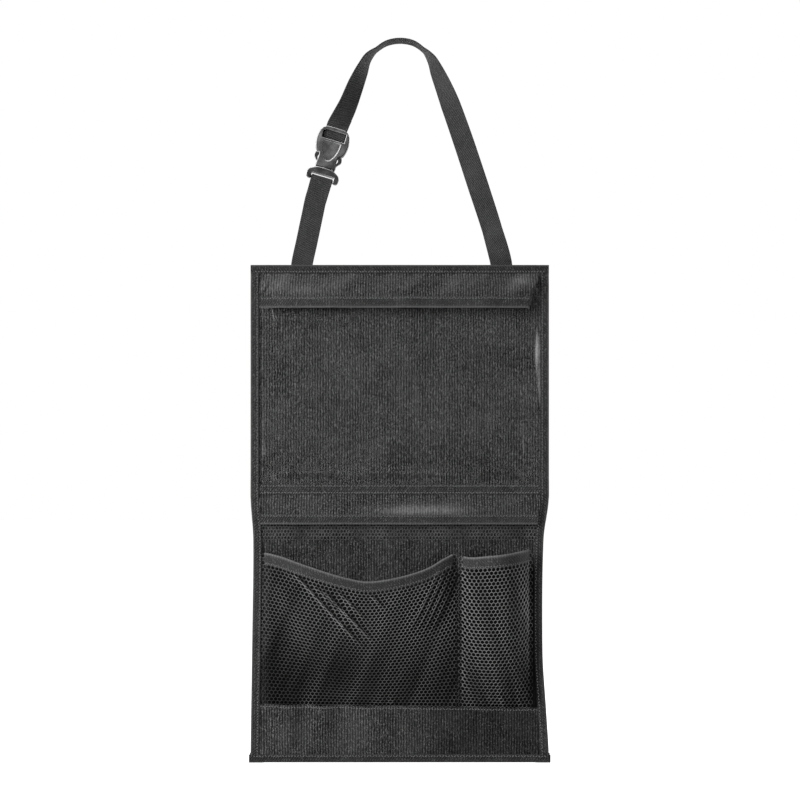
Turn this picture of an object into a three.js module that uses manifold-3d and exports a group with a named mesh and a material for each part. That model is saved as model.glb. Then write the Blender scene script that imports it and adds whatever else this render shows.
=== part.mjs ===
// Car seat back organizer: a bound cloth panel with a clear window pocket, two net pockets, two flaps,
// and a webbing strap with a side release buckle that goes round the seat's headrest.
// Millimetres, +Z up. The origin is the middle of the panel's rear face, and the pockets face -Y.
import * as THREE from 'three';
import { mergeVertices } from 'three/addons/utils/BufferGeometryUtils.js';
import Module from 'manifold-3d';

const wasm = await Module();
wasm.setup();

// Cloths and the room that sewn layers keep between them
const gap = 0.3;
const clothThick = 0.6;
const tapeThick = 0.7;
const filmThick = 0.4;
const netThick = 0.7;
const webbingThick = 1.3;
const closureThick = 0.9;

// Back panel and the tape that binds its edge
const panelWidth = 300;
const panelHeight = 500;
const panelThick = 2.2;
const bindingWidth = 8.5;
const bindingOverhang = 1.2;
const seamTuck = 4.5;
const seamEase = 1.2;
const leftWaist = 4;
const rightWaist = 7;

// Flap over the mouth of the window pocket
const flapDrop = 34.5;
const flapTapeWidth = 10;
const flapSideInset = 1.5;
const flapRightTaper = 11;
const flapWave = 0.9;
const closureLength = 120;
const closureWidth = 7;

// Window pocket of clear film
const windowMouthBelowTop = 23;
const windowBottomBelowTop = 230.4;
const windowDepth = 9;
const windowMouthDepth = 5.5;
const windowHemWidth = 8;
const windowTapeWidth = 10;
const filmCrease = 0.5;
const filmSideRun = 20;
const mouthSideRun = 11;

// Short flap under the window, and the netting that shows below it
const lowerFlapDrop = 29;
const lowerFlapTapeWidth = 9;
const lowerFlapBulge = 4.4;
const netBandDrop = 17;
const netBandTuck = 10;

// Net pockets, measured from the bottom edge
const baseHeightLeft = 59;
const baseHeightRight = 55;
const pocketTapeWidth = 11;
const widePocketDepth = 26;
const widePocketSideHeight = 152;
const widePocketSag = 26;
const widePocketFold = 2.2;
const narrowPocketWidth = 74.5;
const narrowPocketDepth = 40;
const narrowPocketHeight = 157;
const narrowPocketInset = 8;
const dividerSeam = 4;
const pocketHem = 5;
const baseWave = 0.5;

// Hanging strap
const strapWidth = 21.7;
const strapLeftInset = 51.3;
const strapRightInset = 47.4;
const strapTail = 42;
const strapRise = 226.4;
const archHalfWidth = 24;
const archRise = 9.5;
const archLean = 0.06;
const adjusterTail = 14.6;

// Side release buckle: lengths along its own axis start at its lower end
const buckleInward = 19.4;
const buckleAbovePanel = 84.65;
const buckleTilt = 16.5;
const buckleThick = 8.6;
const buckleWidth = 33.2;
const buckleLength = 55.4;
const plugWidth = 33.2;
const socketMouthAt = 13.9;
const webSlot = strapWidth + 2;
const ladderBarThick = 2.8;
const plugBarRadius = 1.35;
const plugLipAt = 6.3;

const black = {
  cloth: { color: 0x2b2b2d, roughness: 0.9, metalness: 0 },
  tape: { color: 0x242426, roughness: 0.85, metalness: 0 },
  net: { color: 0x303033, roughness: 0.9, metalness: 0 },
  webbing: { color: 0x28282a, roughness: 0.8, metalness: 0 },
  plastic: { color: 0x1b1b1d, roughness: 0.3, metalness: 0 },
};
const clearFilm = { color: 0xdfe4e6, roughness: 0.08, metalness: 0, transparent: true, opacity: 0.3 };

// Small functions that the surfaces share
const lerp = THREE.MathUtils.lerp;
const vec = (x, y, z) => new THREE.Vector3(x, y, z);

function ease(from, to, x) {
  const share = THREE.MathUtils.clamp((x - from) / (to - from), 0, 1);
  return share * share * (3 - 2 * share);
}

// A smooth run through knots, each being [place, value] in rising order
function through(knots) {
  const rise = (a, b) => (knots[b][1] - knots[a][1]) / (knots[b][0] - knots[a][0]);
  const last = knots.length - 1;
  const slopes = knots.map((_, i) => (i === 0 || i === last ? 0 : rise(i - 1, i + 1)));
  return (x) => {
    if (x <= knots[0][0]) return knots[0][1];
    if (x >= knots[last][0]) return knots[last][1];
    const i = knots.findIndex(([place]) => x < place);
    const span = knots[i][0] - knots[i - 1][0];
    const t = (x - knots[i - 1][0]) / span;
    const eased = t * t * (3 - 2 * t);
    const lead = (t - 2 * t * t + t * t * t) * slopes[i - 1] * span;
    const trail = (t * t * t - t * t) * slopes[i] * span;
    return lerp(knots[i - 1][1], knots[i][1], eased) + lead + trail;
  };
}

// A seam height that swells over whatever is sewn in under it
function swelling(base, swells) {
  return (place) => {
    let height = base;
    for (const { from, to, ramp, lift } of swells) {
      const inside = Math.min(ease(from - ramp, from, place), 1 - ease(to, to + ramp, place));
      height = Math.max(height, lerp(base, lift, inside));
    }
    return height;
  };
}

function spread(from, to, count) {
  return Array.from({ length: count + 1 }, (_, i) => lerp(from, to, i / count));
}

// Evenly spread places, with the ends of each swell's rise and fall among them
function placesWithSwells(from, to, count, swells) {
  const edges = swells.flatMap((s) => [s.from - s.ramp, s.from, s.to, s.to + s.ramp]);
  const inner = edges.filter((place) => place > from + 0.5 && place < to - 0.5);
  const even = spread(from, to, count).filter((place, i) => {
    const end = i === 0 || i === count;
    return end || inner.every((edge) => Math.abs(edge - place) > 4);
  });
  const all = [...even, ...inner].sort((a, b) => a - b);
  return all.filter((place, i) => i === 0 || place - all[i - 1] > 0.2);
}

// A closed mesh from its points and triangles, turned so that its faces point out
function closedGeometry(points, triangles) {
  let volume = 0;
  for (const [a, b, c] of triangles) {
    volume += points[a].dot(vec(0, 0, 0).crossVectors(points[b], points[c]));
  }
  const geometry = new THREE.BufferGeometry();
  const places = points.flatMap((p) => [p.x, p.y, p.z]);
  geometry.setAttribute('position', new THREE.Float32BufferAttribute(places, 3));
  const turned = volume < 0 ? triangles.map(([a, b, c]) => [a, c, b]) : triangles;
  geometry.setIndex(turned.flat());
  geometry.computeVertexNormals();
  return geometry;
}

// A thin solid between two grids of points: a front face, a back face and the rim that joins them
function shell(front, back) {
  const rows = front.length;
  const columns = front[0].length;
  const at = (side, row, column) => side * rows * columns + row * columns + column;
  const triangles = [];
  const quad = (a, b, c, d) => triangles.push([a, b, c], [a, c, d]);
  for (let row = 0; row < rows - 1; row += 1) {
    for (let column = 0; column < columns - 1; column += 1) {
      const next = [row + 1, column + 1];
      quad(at(0, row, column), at(0, row, next[1]), at(0, next[0], next[1]), at(0, next[0], column));
      quad(at(1, row, column), at(1, next[0], column), at(1, next[0], next[1]), at(1, row, next[1]));
    }
  }
  for (let row = 0; row < rows - 1; row += 1) {
    quad(at(0, row, 0), at(0, row + 1, 0), at(1, row + 1, 0), at(1, row, 0));
    const last = columns - 1;
    quad(at(0, row + 1, last), at(0, row, last), at(1, row, last), at(1, row + 1, last));
  }
  for (let column = 0; column < columns - 1; column += 1) {
    quad(at(0, 0, column + 1), at(0, 0, column), at(1, 0, column), at(1, 0, column + 1));
    const last = rows - 1;
    quad(at(0, last, column), at(0, last, column + 1), at(1, last, column + 1), at(1, last, column));
  }
  return closedGeometry([...front.flat(), ...back.flat()], triangles);
}

// The point of a surface, moved along its normal: outwards is towards -Y
function lifted(surface, u, w, height) {
  const step = 0.05;
  const point = surface(u, w);
  const along = surface(u + step, w).sub(surface(u - step, w));
  const down = surface(u, w + step).sub(surface(u, w - step));
  const normal = along.cross(down).normalize();
  if (normal.y > 0) normal.negate();
  return point.addScaledVector(normal, height);
}

// A sheet of even thickness along a surface whose two measures are in millimetres
function sheet(surface, acrossPlaces, downPlaces, thick) {
  const side = (height) => acrossPlaces.map((u) => downPlaces.map((w) => lifted(surface, u, w, height)));
  return shell(side(thick / 2), side(-thick / 2));
}

// A tape folded over the edge of a sheet, where the surface's second measure is 0
function foldedTape(surface, places, { half, leg, frontLift = () => gap, backLift = () => gap }) {
  const outer = [];
  const inner = [];
  for (const u of places) {
    const front = half + frontLift(u);
    const back = half + backLift(u);
    const outerRow = [];
    const innerRow = [];
    for (const w of [leg, -gap]) {
      innerRow.push(lifted(surface, u, w, front));
      outerRow.push(lifted(surface, u, w, front + tapeThick));
    }
    innerRow.push(lifted(surface, u, -gap, (front - back) / 2));
    outerRow.push(lifted(surface, u, -gap - tapeThick, (front - back) / 2));
    for (const w of [-gap, leg]) {
      innerRow.push(lifted(surface, u, w, -back));
      outerRow.push(lifted(surface, u, w, -back - tapeThick));
    }
    inner.push(innerRow);
    outer.push(outerRow);
  }
  return shell(outer, inner);
}

// Netting: a sheet with a hexagon mesh of holes in the field, which starts and ends on places of both lists
function netting(surface, us, ws, field, rows, columns, holeShare) {
  const flat = [];
  const index = new Map();
  const place = (u, w) => {
    const key = `${u.toFixed(4)},${w.toFixed(4)}`;
    if (!index.has(key)) {
      index.set(key, flat.length);
      flat.push([u, w]);
    }
    return index.get(key);
  };
  const within = (list, from, to) => list.filter((value) => value > from - 0.01 && value < to + 0.01);
  const innerUs = within(us, field.fromU, field.toU);
  const innerWs = within(ws, field.fromW, field.toW);
  const faces = [];
  for (let i = 0; i < us.length - 1; i += 1) {
    for (let j = 0; j < ws.length - 1; j += 1) {
      const middle = [(us[i] + us[i + 1]) / 2, (ws[j] + ws[j + 1]) / 2];
      const meshed = middle[0] > field.fromU && middle[0] < field.toU
        && middle[1] > field.fromW && middle[1] < field.toW;
      if (!meshed) {
        const corners = [[i, j], [i + 1, j], [i + 1, j + 1], [i, j + 1]].map(([a, b]) => place(us[a], ws[b]));
        faces.push([corners[0], corners[1], corners[2]], [corners[0], corners[2], corners[3]]);
      }
    }
  }
  const [lastU, lastW] = [innerUs[innerUs.length - 1], innerWs[innerWs.length - 1]];
  const ring = [
    ...innerUs.map((u) => [u, innerWs[0]]),
    ...innerWs.slice(1).map((w) => [lastU, w]),
    ...innerUs.slice(0, -1).reverse().map((u) => [u, lastW]),
    ...innerWs.slice(1, -1).reverse().map((w) => [innerUs[0], w]),
  ];
  const pitchU = (lastU - innerUs[0]) / (columns + 0.5);
  const pitchW = (lastW - innerWs[0]) / (rows + 1 / 3);
  const holes = [];
  for (let row = 0; row < rows; row += 1) {
    for (let column = 0; column < columns; column += 1) {
      const centreU = innerUs[0] + pitchU * (column + 0.5 + (row % 2 ? 0.5 : 0));
      const centreW = innerWs[0] + pitchW * (row + 2 / 3);
      holes.push(Array.from({ length: 6 }, (_, corner) => {
        const angle = (Math.PI / 3) * corner + Math.PI / 6;
        const reach = { u: (pitchU / Math.sqrt(3)) * holeShare, w: ((pitchW * 2) / 3) * holeShare };
        return [centreU + reach.u * Math.cos(angle), centreW + reach.w * Math.sin(angle)];
      }));
    }
  }
  const outline = ring.map(([u, w]) => new THREE.Vector2(u, w));
  const cuts = holes.map((hole) => hole.map(([u, w]) => new THREE.Vector2(u, w)));
  const all = [...ring, ...holes.flat()].map(([u, w]) => place(u, w));
  for (const [a, b, c] of THREE.ShapeUtils.triangulateShape(outline, cuts)) {
    faces.push([all[a], all[b], all[c]]);
  }
  const signed = ([a, b, c]) => (flat[b][0] - flat[a][0]) * (flat[c][1] - flat[a][1])
    - (flat[c][0] - flat[a][0]) * (flat[b][1] - flat[a][1]);
  const turned = faces.map((face) => (signed(face) < 0 ? [face[0], face[2], face[1]] : face));
  const used = new Set(turned.flatMap(([a, b, c]) => [`${a},${b}`, `${b},${c}`, `${c},${a}`]));
  const count = flat.length;
  const triangles = [];
  for (const [a, b, c] of turned) {
    triangles.push([a, b, c], [a + count, c + count, b + count]);
    for (const [from, to] of [[a, b], [b, c], [c, a]]) {
      if (used.has(`${to},${from}`)) continue;
      triangles.push([from, from + count, to + count], [from, to + count, to]);
    }
  }
  const side = (height) => flat.map(([u, w]) => lifted(surface, u, w, height));
  const points = [...side(netThick / 2), ...side(-netThick / 2)];
  return closedGeometry(points, triangles);
}

// Webbing along stations of a centre point and the direction of its width
function webbing(stations) {
  const front = [];
  const back = [];
  stations.forEach(({ point, width }, i) => {
    const before = stations[Math.max(i - 1, 0)].point;
    const after = stations[Math.min(i + 1, stations.length - 1)].point;
    const run = after.clone().sub(before).normalize();
    const across = width.clone().addScaledVector(run, -width.dot(run)).normalize();
    const normal = run.clone().cross(across);
    const row = (height) => [-strapWidth / 2, strapWidth / 2].map((reach) => point.clone()
      .addScaledVector(across, reach).addScaledVector(normal, height));
    front.push(row(webbingThick / 2));
    back.push(row(-webbingThick / 2));
  });
  return shell(front, back);
}

// Stations along a smooth run through hand-placed points, each with the webbing's width direction
function stationsThrough(places, count) {
  const run = new THREE.CatmullRomCurve3(places.map(({ point }) => point), false, 'centripetal');
  const widths = places.map(({ width }) => width);
  return spread(0, 1, count).map((share) => {
    const t = run.getUtoTmapping(share);
    const at = Math.min(t * (places.length - 1), places.length - 1 - 1e-9);
    const whole = Math.floor(at);
    const width = widths[whole].clone().lerp(widths[whole + 1], at - whole).normalize();
    return { point: run.getPoint(t), width };
  });
}

// Manifold solids from three.js geometry, and back
function solid(geometry) {
  const bare = geometry.clone();
  bare.deleteAttribute('normal');
  bare.deleteAttribute('uv');
  const merged = mergeVertices(bare, 1e-4);
  return new wasm.Manifold(new wasm.Mesh({
    numProp: 3,
    vertProperties: new Float32Array(merged.attributes.position.array),
    triVerts: new Uint32Array(merged.index.array),
  }));
}

function geometryOf(manifold) {
  const mesh = manifold.getMesh();
  const geometry = new THREE.BufferGeometry();
  geometry.setAttribute('position', new THREE.BufferAttribute(new Float32Array(mesh.vertProperties), 3));
  geometry.setIndex(new THREE.BufferAttribute(new Uint32Array(mesh.triVerts), 1));
  geometry.computeVertexNormals();
  return geometry;
}

// A plate in the buckle's own plane, from one depth to another, with rounded edges if it has an edge radius
function plate(shape, fromY, toY, edge = 0) {
  const geometry = new THREE.ExtrudeGeometry(shape, {
    depth: toY - fromY - 2 * edge,
    bevelEnabled: edge > 0,
    bevelThickness: edge,
    bevelSize: edge,
    bevelOffset: -edge,
    bevelSegments: 2,
    curveSegments: 6,
  });
  geometry.rotateX(Math.PI / 2);
  geometry.translate(0, toY - edge, 0);
  return solid(geometry);
}

// A shape symmetrical about the buckle's axis, from the points of its right half, bottom to top
function mirrored(half) {
  const left = half.map(([x, z]) => new THREE.Vector2(-x, z)).reverse();
  return new THREE.Shape([...half.map(([x, z]) => new THREE.Vector2(x, z)), ...left]);
}

function rectangle(fromX, toX, fromZ, toZ) {
  const corners = [[fromX, fromZ], [toX, fromZ], [toX, toZ], [fromX, toZ]];
  return new THREE.Shape(corners.map(([x, z]) => new THREE.Vector2(x, z)));
}

function smoothOutline(points, count) {
  const curve = new THREE.SplineCurve(points.map(([x, z]) => new THREE.Vector2(x, z)));
  return curve.getPoints(count).map((p) => [p.x, p.y]);
}

// Levels of the panel, from its top and bottom edges
const topZ = panelHeight / 2;
const bottomZ = -panelHeight / 2;
const halfWidth = panelWidth / 2;
const windowMouthZ = topZ - windowMouthBelowTop;
const windowBottomZ = topZ - windowBottomBelowTop;
const lowerFlapEndZ = windowBottomZ - lowerFlapDrop;
const netBandEndZ = lowerFlapEndZ - netBandDrop;
const edgeInset = tapeThick + gap;

const leftInset = through([
  [bottomZ, 0],
  [bottomZ + baseHeightLeft, leftWaist * 0.4],
  [(bottomZ + netBandEndZ) / 2, leftWaist * 0.7],
  [netBandEndZ, leftWaist],
  [windowBottomZ, 0],
]);
const rightInset = through([
  [bottomZ, 0],
  [bottomZ + baseHeightRight, rightWaist * 0.6],
  [(bottomZ + netBandEndZ) / 2, rightWaist],
  [netBandEndZ, rightWaist * 0.9],
  [windowBottomZ, 0],
]);
const leftEdge = (z) => -halfWidth + leftInset(z);
const rightEdge = (z) => halfWidth - rightInset(z);
const leftSeam = (z) => leftEdge(z) + bindingWidth;
const rightSeam = (z) => rightEdge(z) - bindingWidth;
const baseTopZ = (x) => bottomZ + lerp(baseHeightLeft, baseHeightRight, (x + halfWidth) / panelWidth);
const frontY = -panelThick;
const layerY = (lift) => frontY - lift;
const filmLift = gap + filmThick / 2;
const netLift = gap + netThick / 2;
const clothLift = gap + clothThick / 2;

// Binding tapes: each swells over the layers that are sewn in under it
const midPanelY = frontY / 2;
const bindingLeg = bindingWidth - edgeInset;
const filmStack = gap * 2 + filmThick;
const netStack = gap * 2 + netThick;
const clothStack = gap * 2 + clothThick;
const sideSwells = (baseHeight) => [
  { from: bottomZ + 4, to: windowBottomZ - 8, ramp: 3, lift: netStack },
  {
    from: bottomZ + baseHeight - pocketHem - 9,
    to: bottomZ + baseHeight + 3,
    ramp: 4,
    lift: netStack + clothThick + gap,
  },
  {
    from: windowBottomZ - 2,
    to: windowBottomZ + windowTapeWidth + 2,
    ramp: 5,
    lift: filmStack + tapeThick + gap,
  },
  { from: windowBottomZ - 2, to: windowMouthZ + 1, ramp: 6, lift: filmStack },
];

const sidePlaces = placesWithSwells(bottomZ + edgeInset + gap, topZ - edgeInset - gap, 12, [
  ...sideSwells(baseHeightLeft),
  ...sideSwells(baseHeightRight).slice(1, 2),
]);

function sideBinding(edge, inward, swells) {
  const surface = (z, w) => vec(edge(z) + inward * (edgeInset + w), midPanelY, z);
  return foldedTape(surface, sidePlaces, {
    half: panelThick / 2,
    leg: bindingLeg,
    frontLift: swelling(gap, swells),
  });
}

// Back panel
function panelGeometry() {
  const rows = [bottomZ + edgeInset, ...sidePlaces, topZ - edgeInset];
  const columns = [0, 0.2, 0.42, 0.78, 1];
  const face = (y) => rows.map((z) => columns.map((share) => vec(
    lerp(leftEdge(z) + edgeInset, rightEdge(z) - edgeInset, share),
    y,
    z,
  )));
  return shell(face(frontY), face(0));
}

// The top and bottom tapes go over the ends of the side tapes
function endBinding(edgeZ, inward, cornerLift) {
  const surface = (x, w) => vec(x, midPanelY, edgeZ + inward * (edgeInset + w));
  const corners = (lift) => [-1, 1].map((side) => {
    const inner = halfWidth - bindingWidth - 2;
    const outer = halfWidth * 2;
    return { from: side < 0 ? -outer : inner, to: side < 0 ? -inner : outer, ramp: 5, lift };
  });
  const reach = halfWidth + bindingOverhang;
  return foldedTape(surface, placesWithSwells(-reach, reach, 8, corners(0)), {
    half: panelThick / 2,
    leg: bindingLeg,
    frontLift: swelling(clothStack, corners(cornerLift)),
    backLift: swelling(gap, corners(gap * 2 + tapeThick)),
  });
}

// Window pocket: clear film that stands off the panel and closes at its sides and bottom
const filmWaves = (x, z) => filmCrease * (Math.sin(x / 17 + z / 40) + 0.6 * Math.sin(x / 31 - z / 23 + 1.4));
const filmSeamZ = windowBottomZ + windowTapeWidth + seamEase;
const filmFootZ = windowBottomZ + windowTapeWidth * 0.45;

function filmDepth(x, z) {
  const side = Math.min(x - leftSeam(z), rightSeam(z) - x) - seamEase;
  const nearMouth = ease(windowMouthZ - 45, windowMouthZ - 4, z);
  const room = ease(0, lerp(filmSideRun, mouthSideRun, nearMouth), side) * ease(0, 14, z - filmSeamZ);
  const mouth = lerp(windowDepth, windowMouthDepth, nearMouth);
  const quiet = 1 - ease(windowMouthZ - 40, windowMouthZ - 12, z);
  return room * (mouth + filmWaves(x, z) * quiet);
}

function windowSurface(u, w) {
  const z = windowMouthZ - w;
  const x = lerp(leftSeam(z) - seamTuck, rightSeam(z) + seamTuck, u / panelWidth);
  return vec(x, layerY(filmLift + filmDepth(x, z)), z);
}

const filmSide = [0, seamTuck + seamEase, 11, 17, 26];
const filmAcross = [
  ...filmSide,
  ...spread(filmSide[4], panelWidth - filmSide[4], 8).slice(1, -1),
  ...filmSide.map((place) => panelWidth - place).reverse(),
];
const filmHeight = windowMouthZ - filmFootZ;
const filmDown = [
  0,
  windowHemWidth,
  ...spread(windowHemWidth + 10, windowMouthZ - filmSeamZ - 14, 6),
  windowMouthZ - filmSeamZ - 7,
  windowMouthZ - filmSeamZ,
  filmHeight,
];

function windowTape() {
  const surface = (u, w) => {
    const z = windowBottomZ + windowTapeWidth - w;
    const x = lerp(leftSeam(z) - seamTuck, rightSeam(z) + seamTuck, u / panelWidth);
    return vec(x, layerY(filmStack + tapeThick / 2), z);
  };
  return sheet(surface, spread(0, panelWidth, 12), [0, windowTapeWidth], tapeThick);
}

// Flap over the window pocket: sewn under the top binding, free at its sides and lower edge
const closureStack = closureThick * 2 + gap * 3;
const hemFrontLift = filmLift + windowMouthDepth + filmThick / 2 + gap + tapeThick;
const flapLift = hemFrontLift + closureStack + clothThick / 2;
const flapTopZ = topZ - bindingWidth + seamTuck;
const flapEndZ = topZ - bindingWidth - flapDrop;

const flapSeamZ = topZ - bindingWidth - seamEase;

function flapLiftAt(x, z) {
  const hang = 1 - ease(windowMouthZ + 1, flapSeamZ, z);
  const side = Math.min(x - leftSeam(z), rightSeam(z) - x);
  const corner = lerp(0.62, 1, ease(-6, 30, side));
  const free = 1 - ease(flapEndZ + 6, windowMouthZ - 6, z);
  const wave = flapWave * (Math.sin(x / 13 + 0.7) + 0.5 * Math.sin(x / 6.1)) * free;
  return lerp(clothLift, flapLift * corner + Math.max(wave, -0.2 * flapWave) + 0.4, hang);
}

function flapSurface(u, w) {
  const z = flapEndZ + w;
  const drop = 1 - ease(flapEndZ, topZ - bindingWidth, z);
  const left = leftSeam(z) + flapSideInset;
  const right = rightSeam(z) - flapSideInset - flapRightTaper * drop;
  const x = lerp(left, right, u / panelWidth);
  return vec(x, layerY(flapLiftAt(x, z)), z);
}

const flapDown = [0, flapTapeWidth, 15, 20, 24, 28, flapSeamZ - flapEndZ, flapTopZ - flapEndZ];
const flapAcross = spread(0, panelWidth, 20);

function closureTape(lift) {
  const middleZ = windowMouthZ - windowHemWidth / 2;
  const surface = (x, w) => vec(x, layerY(lift), middleZ + closureWidth / 2 - w);
  return sheet(surface, spread(-closureLength / 2, closureLength / 2, 2), [0, closureWidth], closureThick);
}

// Short flap under the window, its upper edge under the window tape
const lowerFlapTopZ = windowBottomZ + windowTapeWidth * 0.4;

function lowerFlapLiftAt(x, z) {
  const hang = 1 - ease(windowBottomZ - 12, windowBottomZ - seamEase, z);
  const belly = 0.75 + 0.25 * Math.sin(((x + halfWidth) / panelWidth) * Math.PI);
  const wave = 0.5 * Math.sin(x / 19 + 0.5);
  return lerp(clothLift, clothLift + lowerFlapBulge * belly + wave, hang);
}

function lowerFlapSurface(u, w) {
  const z = lowerFlapEndZ + w;
  const x = lerp(leftSeam(z) + gap, rightSeam(z) - gap, u / panelWidth);
  return vec(x, layerY(lowerFlapLiftAt(x, z)), z);
}

const lowerFlapHeight = lowerFlapTopZ - lowerFlapEndZ;
const lowerFlapDown = [0, lowerFlapTapeWidth, 15, 20, 25, lowerFlapDrop - seamEase, lowerFlapHeight];
const lowerFlapAcross = spread(0, panelWidth, 14);

// Flat netting that shows below the short flap
function netBandSurface(u, w) {
  const z = netBandEndZ + w;
  const x = lerp(leftSeam(z) - seamTuck, rightSeam(z) + seamTuck, u / panelWidth);
  return vec(x, layerY(netLift), z);
}

// Net pockets: the net leaves the panel at its seams and stands off most at its top edge
const dividerX = rightSeam(bottomZ) - narrowPocketInset - narrowPocketWidth;
const widePocketTop = (x) => {
  const share = THREE.MathUtils.clamp((x - leftSeam(netBandEndZ)) / (dividerX - leftSeam(netBandEndZ)), 0, 1);
  const sag = through([
    [0, 0.03], [0.1, 0.135], [0.19, 0.335], [0.34, 0.67], [0.44, 0.87],
    [0.54, 1], [0.69, 0.87], [0.84, 0.57], [0.93, 0.22], [1, 0.04],
  ]);
  return bottomZ + baseHeightLeft + widePocketSideHeight - widePocketSag * sag(share);
};
const narrowPocketTop = (x) => {
  const share = THREE.MathUtils.clamp((x - dividerX) / narrowPocketWidth, 0, 1);
  const dip = through([[0, 0.82], [0.14, 0.7], [0.4, 0.05], [0.77, -0.35], [1, -0.35]]);
  return bottomZ + baseHeightRight + narrowPocketHeight - 6 * dip(share);
};

const widePocketFrom = leftSeam(netBandEndZ) - seamTuck;
const pocketFootZ = (x) => baseTopZ(x) + seamEase;

function widePocketDepthAt(x, z) {
  const from = leftSeam(z) + seamEase;
  const to = dividerX - dividerSeam;
  const share = (x - from) / (to - from);
  const rise = (z - pocketFootZ(x)) / (widePocketTop(x) - pocketFootZ(x));
  if (share <= 0 || share >= 1 || rise <= 0) return 0;
  const across = Math.sin(Math.PI * share) ** 0.85;
  const up = Math.sin((Math.PI / 2) * Math.min(rise, 1)) ** 0.9;
  const angle = Math.atan2(widePocketTop(x) - z, x - from + 12);
  const clear = Math.min(1, share * 5) * Math.min(1, (1 - share) * 4) * Math.min(1, rise * 3);
  const folds = Math.sin(angle * 9 + 0.6) * clear;
  return Math.max(0, widePocketDepth * across * up + widePocketFold * folds * (1 - 0.6 * share));
}

// Both pocket surfaces are measured across in x, and down from the top edge to the seam at their height
function widePocketSurface(u, w) {
  const z = w < widePocketSideHeight
    ? lerp(widePocketTop(u), pocketFootZ(u), w / widePocketSideHeight)
    : pocketFootZ(u) - (w - widePocketSideHeight);
  const sideShift = leftSeam(z) - leftSeam(netBandEndZ);
  const x = u + sideShift * ((dividerX - u) / (dividerX - widePocketFrom));
  return vec(x, layerY(netLift + widePocketDepthAt(x, z)), z);
}

function narrowPocketDepthAt(x, z) {
  const share = (x - dividerX - dividerSeam) / (narrowPocketWidth - 2 * dividerSeam);
  const rise = (z - pocketFootZ(x)) / (narrowPocketTop(x) - pocketFootZ(x));
  if (share <= 0 || share >= 1 || rise <= 0) return 0;
  const across = Math.sqrt(Math.max(0, 1 - (2 * share - 1) ** 2)) * 0.6 + 0.4 * Math.sin(Math.PI * share);
  const up = Math.sin((Math.PI / 2) * Math.min(rise * 1.15, 1)) ** 0.8;
  return narrowPocketDepth * across * up;
}

function narrowPocketSurface(x, w) {
  const top = narrowPocketTop(x);
  const z = w < narrowPocketHeight
    ? lerp(top, pocketFootZ(x), w / narrowPocketHeight)
    : pocketFootZ(x) - (w - narrowPocketHeight);
  return vec(x, layerY(netLift + narrowPocketDepthAt(x, z)), z);
}

const wideSeams = [
  widePocketFrom,
  widePocketFrom + seamTuck + seamEase,
  dividerX - dividerSeam,
  dividerX - gap / 2,
];
const wideAcross = [
  wideSeams[0],
  wideSeams[1],
  wideSeams[1] + 2.4,
  ...spread(wideSeams[1] + 6, wideSeams[2] - 6, 15),
  wideSeams[2] - 2.4,
  wideSeams[2],
  wideSeams[3],
];
const narrowSeams = [
  dividerX + gap / 2,
  dividerX + dividerSeam,
  dividerX + narrowPocketWidth - dividerSeam,
  dividerX + narrowPocketWidth,
];
const narrowAcross = [
  narrowSeams[0],
  narrowSeams[1],
  narrowSeams[1] + 1.2,
  narrowSeams[1] + 3.5,
  ...spread(narrowSeams[1] + 8, narrowSeams[2] - 8, 8),
  narrowSeams[2] - 3.5,
  narrowSeams[2] - 1.2,
  narrowSeams[2],
  narrowSeams[3],
];
const pocketDown = (height, steps) => [
  0,
  ...spread(pocketTapeWidth + 1, height - 10, steps),
  height,
  height + pocketHem,
];
const wideDown = pocketDown(widePocketSideHeight, 8);
const narrowDown = pocketDown(narrowPocketHeight, 8);

// Strip of cloth under the pockets, over the feet of their nets
const baseTuckZ = bottomZ + bindingWidth - seamTuck;

function baseSurface(u, w) {
  const across = lerp(-halfWidth, halfWidth, u / panelWidth);
  const top = baseTopZ(across);
  const z = lerp(top, baseTuckZ, w / baseHeightLeft);
  const x = lerp(leftSeam(z) - seamTuck, rightSeam(z) + seamTuck, u / panelWidth);
  const sewn = ease(top - pocketHem - 8, top - pocketHem - 1, z);
  const ends = Math.min(ease(0, 14, x - leftSeam(z) - seamEase), ease(0, 14, rightSeam(z) - x - seamEase));
  const low = bottomZ + bindingWidth + seamEase;
  const wave = baseWave * (1 + Math.sin(x / 9 + 1)) * ends * ease(low, low + 10, z);
  return vec(x, layerY(lerp(clothLift, netStack + clothThick / 2, sewn) + wave), z);
}

const baseAcross = [
  0,
  seamTuck + seamEase,
  ...spread(12, panelWidth - 12, 16),
  panelWidth - seamTuck - seamEase,
  panelWidth,
];
const baseDown = [0, pocketHem + 2, pocketHem + 8, 24, 38, 49, 53, baseHeightLeft];

// Strap: its two ends are sewn behind the top binding
const bindingBackY = gap + tapeThick;
const strapY = bindingBackY + gap + webbingThick / 2;
const tailY = gap + webbingThick / 2;
const strapLeftX = strapLeftInset - panelWidth / 2;
const strapRightX = panelWidth / 2 - strapRightInset;
const strapTop = topZ + strapRise;
const buckleX = strapLeftX + buckleInward;
const buckleZ = topZ + buckleAbovePanel;
const tilt = THREE.MathUtils.degToRad(buckleTilt);
const buckleFrame = new THREE.Group();
buckleFrame.position.set(buckleX, strapY, buckleZ);
buckleFrame.rotation.y = tilt;
buckleFrame.updateMatrixWorld(true);
const inBuckle = (along, y, across = 0) => buckleFrame.localToWorld(vec(across, y, along));
const buckleLeft = vec(-Math.cos(tilt), 0, Math.sin(tilt));

const plugBarAt = 2.2;
const plugBarY = 0.4;
const plugLoop = plugBarRadius + gap + webbingThick / 2;
const ladderBarAt = [45.8, 48.6];
const ladderBarFromY = -0.2;
const ladderBarToY = ladderBarFromY + ladderBarThick;

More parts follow.
